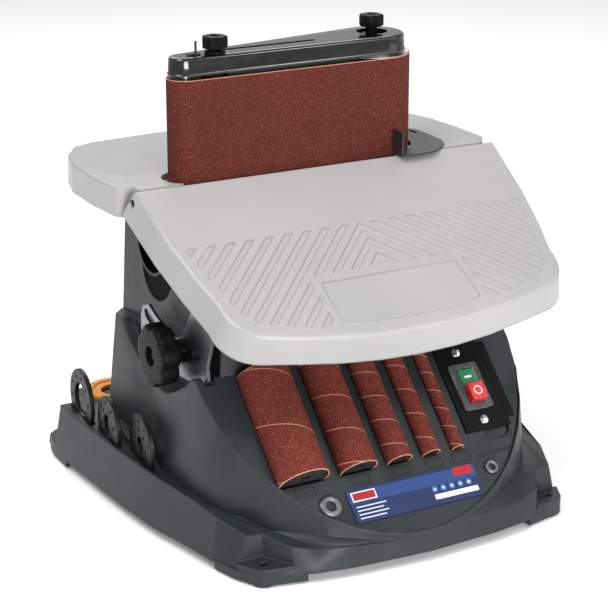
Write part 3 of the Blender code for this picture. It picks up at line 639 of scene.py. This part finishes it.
def tidy(outline, shortest=0.0004):
    """Outline without points that nearly meet."""
    kept = []
    for point in outline:
        if not kept or math.dist(point, kept[-1]) > shortest:
            kept.append(point)
    while len(kept) > 2 and math.dist(kept[0], kept[-1]) < shortest:
        kept.pop()
    return kept


def merge_at_side(pieces):
    """One outline from the two parts of a rib that meet on the line at RIB_SIDE."""
    shape = bmesh.new()
    for piece in pieces:
        shape.faces.new([shape.verts.new((*point, 0.0)) for point in piece])
    bmesh.ops.remove_doubles(shape, verts=shape.verts, dist=0.01 * MM)
    shared = [edge for edge in shape.edges if len(edge.link_faces) == 2]
    bmesh.ops.dissolve_edges(shape, edges=shared, use_verts=False)
    outlines = [[(vert.co.x, vert.co.y) for vert in face.verts] for face in shape.faces]
    shape.free()
    return outlines


def chevron(outline):
    """Whole outline of a rib that crosses the middle, from its right half."""
    middle = sorted(s for x, s in outline if x <= ON_MIDDLE)
    nexts = outline[1:] + outline[:1]
    start = next(k for k, (here, after) in enumerate(zip(outline, nexts))
                 if here[0] <= ON_MIDDLE < after[0])
    order = outline[start:] + outline[:start]
    right = [point for point in order if point[0] > ON_MIDDLE]
    left = [(-x, s) for x, s in reversed(right)]
    far_end = middle[0] if order[0][1] > middle[0] + ON_MIDDLE else middle[-1]
    return tidy([order[0], *right, (0.0, far_end), *left])


def pad_outline():
    """The raised pad in the middle of the table, with its front edge bowed."""
    bow = [math.pi * k / PAD_BOW_STEPS for k in range(PAD_BOW_STEPS + 1)]
    pad = [(-PAD_TOP_X, PAD_TOP_S), (PAD_TOP_X, PAD_TOP_S)]
    pad += [(PAD_BOW_X * math.cos(a), PAD_BOW_S + PAD_BOW_DEPTH * math.sin(a)) for a in bow]
    return rounded(pad, PAD_CORNER)


def make_ribs():
    found = []
    for k in range(RIB_COUNT):
        pieces = [tidy(piece) for piece in rib_pieces(RIB_START + RIB_PITCH * k)]
        pieces = [piece for piece in pieces if len(piece) > 2]
        for outline in merge_at_side(pieces) if len(pieces) == 2 else pieces:
            if abs(signed_area(outline)) < RIB_LEAST_AREA:
                continue
            if min(x for x, _ in outline) < ON_MIDDLE:
                found.append(rounded(chevron(outline), RIB_CORNER))
                continue
            right = rounded(outline, RIB_CORNER)
            found.append([(-x, s) for x, s in right])
            found.append(right)
    found.append(pad_outline())
    outlines = [[(x, FLAP_BACK - s) for x, s in outline] for outline in found]
    low = FLAP_TOP - RIB_SUNK
    ribs = raised("front_table_ribs", outlines, CAST, FLAP, low, FLAP_TOP + RIB_HEIGHT, RIB_SLOPE)
    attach(ribs, "front_table")


# ---------------------------------------- belt unit

BELT_STEPS = 40
BELT_THICKNESS = 1.0 * MM


def belt_loop(inset):
    """Points round drum and idler, that far inside the belt's outer face, from their CAD boxes."""
    low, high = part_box("sanding_belt")
    drum_low, drum_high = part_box("drive_drum")
    idler_low, idler_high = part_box("idler_roller")
    drum = (drum_low + drum_high) / 2
    idler = (idler_low + idler_high) / 2
    drum_r = high.x - drum.x - inset
    idler_r = idler.x - low.x - inset
    reach = math.dist((drum.x, drum.y), (idler.x, idler.y))
    lean = math.atan2(drum.y - idler.y, drum.x - idler.x) + math.asin((drum_r - idler_r) / reach)
    points = []
    for centre, radius, start, end in ((drum, drum_r, -RIGHT_ANGLE, RIGHT_ANGLE + lean),
                                       (idler, idler_r, RIGHT_ANGLE + lean, 3 * RIGHT_ANGLE)):
        for k in range(BELT_STEPS + 1):
            angle = start + (end - start) * k / BELT_STEPS
            points.append((centre.x + radius * math.cos(angle), centre.y + radius * math.sin(angle)))
    return points


def make_belt():
    low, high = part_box("sanding_belt")
    outer = belt_loop(0.0)
    inner = belt_loop(BELT_THICKNESS)
    rings = [[(x, y, z) for x, y in outer] for z in (low.z, high.z)]
    rings += [[(x, y, z) for x, y in inner] for z in (high.z, low.z)]
    belt = band("belt_look", rings, belt_material("belt_abrasive", low.z, high.z), closed=True)
    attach(belt, "carriage")
    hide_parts("sanding_belt")


# ---------------------------------------- sleeves

SLEEVE_LENGTH = 0.115
SLEEVE_WALL = 1.2 * MM
FINE_COUNT = 72  # points round the sleeves and the table inserts

# Each sleeve's size in millimetres, with its seam's pitch in metres and phase in turns.
SLEEVES = (("51", 0.058, 0.573), ("38", 0.035, 0.120), ("26", 0.0255, 0.012), ("19", 0.026, 0.065),
           ("13", 0.0195, 0.890))


def make_sleeves():
    turn = Matrix.Rotation(PANEL_TILT, 4, "X") @ Matrix.Rotation(RIGHT_ANGLE, 4, "X")
    half = SLEEVE_LENGTH / 2
    for label, pitch, phase in SLEEVES:
        node = f"sleeve_{label}"
        low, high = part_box(node)
        outside = (high.x - low.x) / 2
        inside = outside - SLEEVE_WALL
        profile = [(inside, -half), (outside, -half), (outside, half), (inside, half)]
        material = sleeve_material(f"sleeve_{label}_abrasive", SLEEVE_LENGTH, pitch, phase)
        matrix = Matrix.Translation((low + high) / 2) @ turn
        sleeve = turned(f"sleeve_{label}_look", profile, material, matrix, FINE_COUNT)
        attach(sleeve, "base")
        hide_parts(node)


# ---------------------------------------- cover, stop, knobs

COVER_RIGHT = (0.082, 0.035)
COVER_RIGHT_R = 0.0314
COVER_LEFT = (-0.133, 0.018)
COVER_LEFT_R = 0.0144
COVER_LEAN = 99
COVER_ROUND = 3.6 * MM
COVER_ROUND_STEPS = 6
COVER_LIP = 0.8 * MM
COVER_INSET = 0.5 * MM
COVER_WALL = 2.5 * MM
COVER_ROOF = 3.0 * MM
SLOT_LEFT = (-0.088, 0.0255)
SLOT_RIGHT = (0.008, 0.0255)
SLOT_R = 3.0 * MM
KNOB_HOLE = (0.0819, 0.037)
KNOB_HOLE_R = 0.0155
STEM_HOLE = (-0.102, 0.015)
STEM_HOLE_R = 0.0064
ARROW_CENTRE = (0.046, 0.0375)
ARROW_OUTER_R = 0.0118
ARROW_INNER_R = 0.0104
ARROW_START = 200
ARROW_END = 420
ARROW_TIP = ((0.0555, 0.0500), (0.0478, 0.0487), (0.0520, 0.0440))
SPINDLE_XY = (0.0819, 0.0391)
FRAME_PLATE = (-0.092, 0.046, 0.0066, 0.0090)
FRAME_PLATE_LOW = 0.4262
FRAME_PLATE_HIGH = 0.4445
CAP_PROFILE = ((0.0215, 0.4273), (0.0376, 0.4273), (0.0376, 0.4280), (0.0215, 0.4280))
BEYOND = 0.01  # how far a cutter reaches past the face it opens


def arc(centre, radius, start, end, steps):
    """Points from start to end, angles in degrees."""
    angles = [math.radians(start + (end - start) * k / steps) for k in range(steps + 1)]
    return [(centre[0] + radius * math.cos(a), centre[1] + radius * math.sin(a)) for a in angles]


def cover_outline(inset):
    right = arc(COVER_RIGHT, COVER_RIGHT_R - inset, -90, COVER_LEAN, 30)
    return right + arc(COVER_LEFT, COVER_LEFT_R - inset, COVER_LEAN, 270, 24)


def capsule(start, end, radius, steps=8):
    """Round-ended slot outline between two centres."""
    lean = math.degrees(math.atan2(end[1] - start[1], end[0] - start[0]))
    return arc(end, radius, lean - 90, lean + 90, steps) + arc(start, radius, lean + 90, lean + 270, steps)


def make_cover_shell(low, high):
    """Cover with a rounded top, hollow below, with its slot and two holes cut through."""
    levels = [(-COVER_LIP, low.z), (-COVER_LIP, low.z + 1.2 * MM), (0.1 * MM, low.z + 2.4 * MM),
              (COVER_INSET, high.z - COVER_ROUND)]
    for k in range(1, COVER_ROUND_STEPS + 1):
        angle = RIGHT_ANGLE * k / COVER_ROUND_STEPS
        levels.append((COVER_INSET + COVER_ROUND * (1 - math.cos(angle)),
                       high.z - COVER_ROUND * (1 - math.sin(angle))))
    rings = [[(x, y, z) for x, y in cover_outline(inset)] for inset, z in levels]
    cover = band("belt_cover_look", rings, GLOSS)
    below = low.z - BEYOND
    cutters = [block("cavity", cover_outline(COVER_WALL), below, high.z - COVER_ROOF)]
    for name, outline in (("slot", capsule(SLOT_LEFT, SLOT_RIGHT, SLOT_R)),
                          ("knob_hole", circle(KNOB_HOLE_R, 48, KNOB_HOLE)),
                          ("stem_hole", circle(STEM_HOLE_R, 32, STEM_HOLE))):
        cutters.append(block(name, outline, below, high.z + BEYOND))
    carve(cover, cutters)
    shade(cover.data, 35)
    return cover


def make_cover():
    low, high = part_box("belt_cover")
    cover = make_cover_shell(low, high)
    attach(cover, "carriage")
    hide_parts("belt_cover")
    bow = arc(ARROW_CENTRE, ARROW_OUTER_R, ARROW_START, ARROW_END, 28)
    bow += arc(ARROW_CENTRE, ARROW_INNER_R, ARROW_END, ARROW_START, 28)
    arrow = raised("turn_arrow", [bow, list(ARROW_TIP)], GLOSS, FLAT, low=high.z - 0.3 * MM,
                   high=high.z - 0.02 * MM, slope=0.2 * MM)
    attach(arrow, "carriage")
    plate = raised("frame_plate", [rectangle(*FRAME_PLATE)], BLACK, FLAT, FRAME_PLATE_LOW,
                   FRAME_PLATE_HIGH, slope=0.2 * MM)
    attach(plate, "carriage")
    cap = turned("drum_cap", CAP_PROFILE, STEEL, Matrix.Translation((*SPINDLE_XY, 0.0)), 64)
    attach(cap, "spindle")


STOP_THICKNESS = 2.0 * MM
STOP_EDGE = 0.35 * MM
STOP_CORNER = 0.022
STOP_CORNER_STEPS = 8
STOP_BORE = 0.0416
STOP_HOLE = ((0.145, 0.053), (0.145, 0.063))
STOP_HOLE_R = 2.0 * MM
WALL_BACK = -0.0030
WALL_HEIGHT = 0.0252


def make_stop():
    """Plate round the drum, and the stop bent up along its left end."""
    low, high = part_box("belt_stop")
    corners = [(low.x + 0.1 * MM, low.y), (0.1240, low.y), (0.1525, 0.006), (high.x, 0.040),
               (0.1535, high.y - 1.0 * MM), (0.1140, high.y - 2.0 * MM)]
    sharp_end = STOP_CORNER_STEPS + 1
    outer = rounded(corners, STOP_CORNER, STOP_CORNER_STEPS)[sharp_end:-sharp_end]
    outline = [corners[0], *outer, corners[-1], *arc(SPINDLE_XY, STOP_BORE, 44, -85, 28)]
    plate = block("belt_stop_look", outline, low.z, low.z + STOP_THICKNESS, material=FENCE)
    carve(plate, [block("hole", capsule(*STOP_HOLE, STOP_HOLE_R), low.z - BEYOND, low.z + BEYOND)])
    add_bevel(plate, STOP_EDGE, 2)
    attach(plate, "base")
    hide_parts("belt_stop")
    front = low.y + 0.1 * MM
    side = [(front, 0.0), (WALL_BACK, 0.0), (WALL_BACK, WALL_HEIGHT), (low.y + 3.0 * MM, WALL_HEIGHT),
            (low.y + 0.9 * MM, WALL_HEIGHT - 1.0 * MM), (front, WALL_HEIGHT - 3.0 * MM)]
    turn = Matrix.Rotation(RIGHT_ANGLE, 4, "Z") @ Matrix.Rotation(RIGHT_ANGLE, 4, "X")
    matrix = Matrix.Translation((low.x, 0.0, low.z)) @ turn
    wall = block("belt_stop_wall", side, 0.0, STOP_THICKNESS, matrix, FENCE)
    add_bevel(wall, STOP_EDGE, 2)
    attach(wall, "base")


LOBES = 7
PER_LOBE = 16
VALLEY_POWER = 2.2

# Knob levels, in millimetres: outer radius, depth of the valleys, height. The lock knobs' heights are
# along their studs, from the inner face, and the others' are above the ground.
LOCK_LEVELS = (
    (4.4, 0, 0), (12, 0, 0), (12.5, 0.3, 6.5), (16, 0.8, 8.5), (25, 2.6, 9.3), (29.4, 3.6, 10.2),
    (30.6, 3.8, 11.6), (31.0, 3.9, 13.5), (31.0, 3.9, 24.0), (30.7, 3.8, 26.4), (29.8, 3.4, 27.8),
    (28.2, 2.6, 28.6), (25.0, 1.2, 28.9), (14.0, 0, 29.0), (10.2, 0, 29.0), (9.6, 0, 28.4),
    (9.3, 0, 24.4), (8.6, 0, 24.0), (4.4, 0, 24.0),
)
KNOB_FEET = (
    ("drum_knob", ((5.6, 0, 441.3), (5.6, 0, 448.0))),
    ("tracking_knob", ((9.9, 0, 448.2), (10.0, 0, 449.8), (9.4, 0, 450.4), (6.4, 0, 450.9))),
)
KNOB_HEAD = (
    (5.6, 0, 451.4), (6.2, 0, 452.4), (10.6, 1.6, 452.8), (11.9, 2.1, 453.3), (12.3, 2.3, 454.2),
    (12.3, 2.3, 462.2), (12.0, 2.2, 463.3), (11.2, 1.8, 464.1), (9.8, 1.0, 464.5), (4.6, 0, 464.5),
    (4.2, 0, 464.1), (3.9, 0, 463.0),
)


def lobed(radius, depth):
    """Outline with broad lobes and narrower valleys."""
    points = []
    for k in range(LOBES * PER_LOBE):
        angle = TAU * k / (LOBES * PER_LOBE)
        reach = radius - depth * ((1 + math.cos(LOBES * angle)) / 2) ** VALLEY_POWER
        points.append((reach * math.cos(angle), reach * math.sin(angle)))
    return points


def knob(name, levels, matrix, body, node, closed):
    """Knob from levels in millimetres, closed to a ring or capped at both ends."""
    rings = []
    for radius, depth, height in levels:
        rings.append([(x, y, height * MM) for x, y in lobed(radius * MM, depth * MM)])
    obj = band(name, rings, KNOB, matrix, closed)
    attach(obj, body)
    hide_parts(node)


def make_knobs():
    for label, side in (("left", -1), ("right", 1)):
        low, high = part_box(f"lock_knob_{label}")
        inner = high.x if side < 0 else low.x
        centre = Vector((inner, *joints[f"lock_{label}_turn"]["pos_m"][1:]))
        matrix = Matrix.Translation(centre) @ Matrix.Rotation(side * RIGHT_ANGLE, 4, "Y")
        node = f"lock_knob_{label}"
        knob(f"{node}_look", LOCK_LEVELS, matrix, node, node, True)
    for node, foot in KNOB_FEET:
        low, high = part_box(node)
        matrix = Matrix.Translation(((low.x + high.x) / 2, (low.y + high.y) / 2, 0.0))
        knob(f"{node}_look", foot + KNOB_HEAD, matrix, body_of(node), node, False)


# ---------------------------------------- stored inserts

# Radius and bore in metres, turn about Z in degrees, and the rings of pits: share of the radius, count.
INSERT_LOOKS = (("a", 0.0320, 0.0176, -3.6, ((0.78, 10),)),
                ("b", 0.0305, 0.0115, -4.7, ((0.80, 9), (0.58, 6))),
                ("c", 0.0310, 0.0085, -4.5, ((0.80, 9), (0.52, 7))))
INSERT_HALF = 2.5 * MM
INSERT_EDGE = 0.7 * MM
PIT_R = 1.9 * MM
PIT_DEPTH = 2.2 * MM
PIT_SHIFT = 0.35  # turn of the first pit, in steps between pits
ORANGE_PROFILE = ((16.0, 0.3), (16.4, 0.0), (30.6, 0.0), (31.0, 0.4), (31.0, 5.5), (30.5, 6.0), (25.2, 6.0),
                  (24.6, 5.7), (23.8, 4.3), (23.2, 4.0), (16.5, 4.0), (16.0, 3.6))
ORANGE_PITS = 4
ORANGE_PIT_R = 1.3 * MM
ORANGE_PIT_DEPTH = 2.0 * MM
ORANGE_PIT_REACH = 0.0280
ORANGE_PIT_START = 215


def along_circle(reach, angle, centre=(0.0, 0.0)):
    return (centre[0] + reach * math.cos(angle), centre[1] + reach * math.sin(angle))


def make_inserts():
    half, edge = INSERT_HALF, INSERT_EDGE
    for label, radius, bore, turn, rings in INSERT_LOOKS:
        node = f"insert_{label}"
        low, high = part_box(node)
        matrix = Matrix.Translation((low + high) / 2) @ Matrix.Rotation(math.radians(turn), 4, "Z")
        matrix = matrix @ Matrix.Rotation(RIGHT_ANGLE, 4, "Y")
        profile = [(bore, edge - half), (bore + edge, -half), (radius - edge, -half), (radius, edge - half),
                   (radius, half - edge), (radius - edge, half), (bore + edge, half), (bore, half - edge)]
        disc = turned(f"{node}_look", profile, BLACK, matrix, FINE_COUNT)
        pits = []
        for share, count in rings:
            for k in range(count):
                outline = circle(PIT_R, 14, along_circle(share * radius, TAU * (k + PIT_SHIFT) / count))
                name = f"pit_{label}_{share}_{k}"
                pits.append(block(name, outline, -half - PIT_R, PIT_DEPTH - half, matrix))
        carve(disc, pits)
        shade(disc.data, 30)
        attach(disc, "base")
        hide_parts(node)
    low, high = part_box("insert_orange")
    centre = (low + high) / 2
    profile = [(radius * MM, z * MM) for radius, z in ORANGE_PROFILE]
    matrix = Matrix.Translation((centre.x, centre.y, low.z))
    ring = turned("insert_orange_look", profile, ORANGE, matrix, FINE_COUNT)
    pits = []
    for k in range(ORANGE_PITS):
        place = along_circle(ORANGE_PIT_REACH, math.radians(ORANGE_PIT_START + 90 * k), centre)
        outline = circle(ORANGE_PIT_R, 16, place)
        pits.append(block(f"orange_pit_{k}", outline, high.z - ORANGE_PIT_DEPTH, high.z + BEYOND))
    carve(ring, pits)
    shade(ring.data, 30)
    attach(ring, "base")
    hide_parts("insert_orange")


# ---------------------------------------- panel fittings

# Metres on the sloping panel: left, right, low and high for a rectangle, x and y for a point.
SURROUND_OUTER = (0.0885, 0.1205, 0.0875, 0.1370)
SURROUND_INNER = (0.0960, 0.1150, 0.0940, 0.1320)
SWITCH_STRIP = (0.1325, 0.1405, 0.0745, 0.158)
LABEL_PLATE = (-0.0669, 0.0729, 0.0029, 0.0369)
SCOOP_X = 0.115
SCOOP_HALF = 0.0141
SCOOP_TOP = 0.0665
SCOOP_DROP = 0.0106
SCOOP_STEPS = 10
BAR_ENDS = ((0.0835, 0.0418), (0.1245, 0.0438))
BAR_R = 1.3 * MM
TAG_PLACES = (-0.105, -0.046, -0.001, 0.0346, 0.065)
TAG_HALF = 0.0100
TAG_LOW = 0.0400
TAG_HIGH = 0.0495
TAG_LINE = 0.7 * MM

# Label, x, y and, in millimetres, radius. The profile is (share of the radius, millimetres up).
WASHERS = (("large", -0.086, 0.026, 11.0), ("small", 0.092, 0.028, 7.5))
WASHER_PROFILE = ((0.42, 0.3), (1.0, 0.3), (1.0, 1.4), (0.94, 2.2), (0.80, 2.9), (0.62, 3.0), (0.50, 2.6),
                  (0.42, 1.8))


def frame_band(name, outer, inner, material, low, high, edge):
    """Closed frame on the panel between two outlines of equal point count, its top edges eased."""
    levels = ((outer, low), (outer, high - edge), (inward(outer, edge), high),
              (inward(inner, -edge), high), (inner, high - edge), (inner, low))
    rings = [[(x, y, z) for x, y in outline] for outline, z in levels]
    return band(name, rings, material, PANEL, closed=True, smooth_angle=25.0)


def make_fittings():
    outer = rounded(rectangle(*SURROUND_OUTER), 3.5 * MM, 5)
    inner = rounded(rectangle(*SURROUND_INNER), 1.2 * MM, 5)
    surround = frame_band("switch_surround_look", outer, inner, CLEAR, low=2.6 * MM, high=5.6 * MM,
                          edge=0.6 * MM)
    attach(surround, "base")
    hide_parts("switch_surround")
    strip = raised("switch_strip", [rounded(rectangle(*SWITCH_STRIP), 1.5 * MM)], SWITCH, PANEL,
                   low=0.3 * MM, high=1.5 * MM, slope=0.4 * MM)
    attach(strip, "base")
    for label, x, y, radius in WASHERS:
        profile = [(share * radius * MM, z * MM) for share, z in WASHER_PROFILE]
        matrix = PANEL @ Matrix.Translation((x, y, 0.0))
        washer = turned(f"washer_{label}_look", profile, WASHER, matrix, 48)
        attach(washer, "base")
        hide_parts(f"washer_{label}")
    outline = rounded(rectangle(*LABEL_PLATE), 2.5 * MM, 5)
    label = raised("label_look", [outline], label_material("label_print"), PANEL, low=0.3 * MM,
                   high=1.3 * MM, slope=0.3 * MM)
    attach(label, "base")
    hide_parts("label_plate")
    make_panel_relief()


def make_panel_relief():
    """Corners that round the finger scoop, the raised bar and the outlined size tags."""
    outlines = []
    for side in (-1, 1):
        half = side * SCOOP_HALF
        angles = [RIGHT_ANGLE * k / SCOOP_STEPS for k in range(SCOOP_STEPS + 1)]
        bow = [(SCOOP_X + half * math.sin(a), SCOOP_TOP - SCOOP_DROP * math.cos(a)) for a in angles]
        outlines.append(bow + [(SCOOP_X + half, SCOOP_TOP - SCOOP_DROP)])
    corners = raised("scoop_corners", outlines, HOUSING, PANEL, low=-3.0 * MM, high=0.0, slope=0.05 * MM)
    bar = raised("panel_bar", [capsule(*BAR_ENDS, BAR_R)], HOUSING, PANEL, low=-0.2 * MM, high=0.55 * MM,
                 slope=0.5 * MM)
    pieces = [corners, bar]
    for k, x in enumerate(TAG_PLACES):
        outer = rectangle(x - TAG_HALF, x + TAG_HALF, TAG_LOW, TAG_HIGH)
        half = TAG_HALF - TAG_LINE
        inner = rectangle(x - half, x + half, TAG_LOW + TAG_LINE, TAG_HIGH - TAG_LINE)
        pieces.append(frame_band(f"size_tag_{k}", rounded(outer, 1.5 * MM), rounded(inner, 1.0 * MM),
                                 HOUSING, low=-0.2 * MM, high=0.3 * MM, edge=0.15 * MM))
    for piece in pieces:
        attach(piece, "base")


# ---------------------------------------- plain parts

# CAD nodes that only get smooth faces and rounded edges: names, material, millimetres of bevel, segments.
PLAIN = (
    ("base_housing", HOUSING, 1.2, 2),
    ("bottom_cover", BLACK, 0.4, 1),
    ("rear_table", CAST, 1.6, 3),
    ("front_table", CAST, 1.0, 2),
    ("dust_port", BLACK, 0.5, 2),
    ("belt_frame", BLACK, 0.3, 1),
    ("quadrant_left quadrant_right", ZINC, 0.3, 2),
    ("switch_plate", SWITCH, 0.5, 2),
    ("switch_body", BLACK, 0.3, 1),
    ("start_button", GREEN, 0.6, 3),
    ("stop_button", RED, 0.6, 3),
    ("switch_screw_upper switch_screw_lower", CHROME, 0.2, 2),
    ("drive_drum", RUBBER, 0.4, 2),
    ("drum_washer", STEEL, 0.3, 2),
    ("idler_roller", BLACK, 0.4, 2),
    ("idler_axle spindle", STEEL, 0.2, 1),
    ("tension_lever", BLACK, 0.2, 1),
    ("hinge_pin_left hinge_pin_right", KNOB, 0.3, 2),
    ("lock_stud_left lock_stud_right", DARK_STEEL, 0.3, 2),
    ("cord_gland foot_front_left foot_front_right foot_rear_left foot_rear_right", RUBBER, 0.3, 2),
    ("drum_51 drum_38 drum_26 drum_19", RUBBER, 0.4, 2),
    ("motor_body", STEEL, 0.4, 1),
    ("motor_pinion", STEEL, 0.0, 1),
    ("spindle_gear", BRONZE, 0.0, 1),
    ("cam_wheel", STEEL, 0.0, 1),
    ("gear_plate", ZINC, 0.3, 1),
    ("spindle_bush", BRONZE, 0.3, 1),
)


def make_plain_parts():
    for names, material, bevel, segments in PLAIN:
        for node in names.split():
            refined(node, material, bevel * MM, segments)


# ---------------------------------------- painted shade in the recess, and marks

# The recess under the dust port: WALL_LEAN is its floor's rise in x for each metre up, and the floor
# goes through RECESS_X at height RECESS_Z.
RECESS_R = 0.0356
RECESS_DROP = 0.027
RECESS_Y = 0.0695
RECESS_STEPS = 32
RECESS_X = -0.1428
RECESS_Z = 0.1625
PORT_R = 0.0332
WALL_LEAN = 0.0652

# Metres on the sloping panel.
START_MARK = (0.1015, 0.1095, 0.1213, 0.1237)
STOP_MARK_PLACE = (0.1055, 0.1040, 0.0119)
STOP_MARK_PROFILE = ((0.0036, 0.0), (0.0046, 0.0), (0.0046, 0.0003), (0.0036, 0.0003))


def make_port_recess_shade():
    """Dark sheet over the floor of the recess under the dust port: painted shade, standing in for the
    shadow that fills the deep recess.
    """
    low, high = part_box("dust_port")
    centre_z = (low.z + high.z) / 2
    across = Vector((0.0, -1.0, 0.0))
    upward = Vector((WALL_LEAN, 0.0, 1.0)).normalized()
    outward = across.cross(upward)
    origin = Vector((RECESS_X + WALL_LEAN * (centre_z - RECESS_Z), RECESS_Y, centre_z))
    matrix = Matrix((across, upward, outward)).transposed().to_4x4()
    matrix.translation = origin
    outline = [(-RECESS_R, 0.0)]
    for k in range(RECESS_STEPS + 1):
        angle = -math.pi + math.pi * k / RECESS_STEPS
        outline.append((RECESS_R * math.cos(angle), RECESS_R * math.sin(angle) - RECESS_DROP))
    outline.append((RECESS_R, 0.0))
    port_side = RECESS_Y - (low.y + high.y) / 2
    for k in range(RECESS_STEPS + 1):
        angle = -math.pi * k / RECESS_STEPS
        outline.append((port_side + PORT_R * math.cos(angle), PORT_R * math.sin(angle)))
    face = raised("port_recess_painted_shade", [outline], RECESS_SHADE, matrix, low=-0.2 * MM, high=0.3 * MM,
                  slope=0.1 * MM)
    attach(face, "base")


def make_marks():
    """Raised bar on the start button and raised ring on the stop button."""
    bar = raised("start_mark", [rounded(rectangle(*START_MARK), 0.5 * MM)], WHITE, PANEL,
                 low=4.5 * MM, high=4.75 * MM, slope=0.08 * MM)
    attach(bar, "start_button")
    matrix = PANEL @ Matrix.Translation(STOP_MARK_PLACE)
    ring = turned("stop_mark", STOP_MARK_PROFILE, WHITE, matrix, 48)
    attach(ring, "stop_button")


# ---------------------------------------- stage

FLOOR_HALF = 12.0
FLOOR_GLOW = 0.12
WORLD_STRENGTH = 0.50
AIM = (0.0, 0.0, 0.2)

# Name, place and size in metres, power in watts.
LIGHTS = (
    ("key", (-1.2, -0.4, 2.3), (1.2, 1.2), 36.0),
    ("fill", (1.9, -1.4, 1.4), (1.4, 1.8), 8.0),
    ("front", (-0.2, -2.6, 0.7), (1.4, 0.7), 46.0),
    ("edge", (1.2, -1.7, 2.1), (0.5, 0.5), 11.0),
    ("back", (0.6, 2.0, 2.0), (2.0, 1.0), 26.0),
)

# Millimetres of sensor and lens, metres, and degrees up from straight down and round from +Y.
SENSOR_WIDTH = 36.0
LENS = 116.6
CAMERA_PLACE = (-0.9026, -1.6188, 0.8209)
CAMERA_TILT = 71.14
CAMERA_TURN = -28.75


def make_stage():
    shape = bmesh.new()
    bmesh.ops.create_grid(shape, x_segments=1, y_segments=1, size=FLOOR_HALF)
    paint = Paint("floor_paint", 0.6, specular=0.2)
    paint.colour(paint.ramp(paint.noise(2.0, 2.0), [(0.3, (0.94, 0.94, 0.94)), (0.7, (0.96, 0.96, 0.96))]))
    paint.set("Emission Color", (1.0, 1.0, 1.0, 1.0))
    paint.set("Emission Strength", FLOOR_GLOW)
    floor = make_object("floor", shape, paint.material)


def add_light(name, place, size, power):
    light = bpy.data.lights.new(name, "AREA")
    light.shape = "RECTANGLE"
    light.size, light.size_y = size
    light.energy = power
    obj = bpy.data.objects.new(name, light)
    bpy.context.scene.collection.objects.link(obj)
    obj.location = place
    obj.rotation_euler = (Vector(AIM) - Vector(place)).to_track_quat("-Z", "Y").to_euler()


def make_lights():
    world = bpy.data.worlds.new("studio")
    bpy.context.scene.world = world
    world.use_nodes = True
    background = world.node_tree.nodes["Background"]
    background.inputs["Color"].default_value = (1.0, 1.0, 1.0, 1.0)
    background.inputs["Strength"].default_value = WORLD_STRENGTH
    for row in LIGHTS:
        add_light(*row)


def make_camera():
    data = bpy.data.cameras.new("camera")
    data.sensor_width = SENSOR_WIDTH
    data.lens = LENS
    camera = bpy.data.objects.new("camera", data)
    bpy.context.scene.collection.objects.link(camera)
    camera.location = CAMERA_PLACE
    camera.rotation_euler = (math.radians(CAMERA_TILT), 0.0, math.radians(CAMERA_TURN))
    bpy.context.scene.camera = camera
    bpy.context.scene.view_settings.view_transform = "Standard"


make_plain_parts()
make_ribs()
make_belt()
make_sleeves()
make_cover()
make_stop()
make_knobs()
make_inserts()
make_fittings()
make_port_recess_shade()
make_marks()
make_stage()
make_lights()
make_camera()
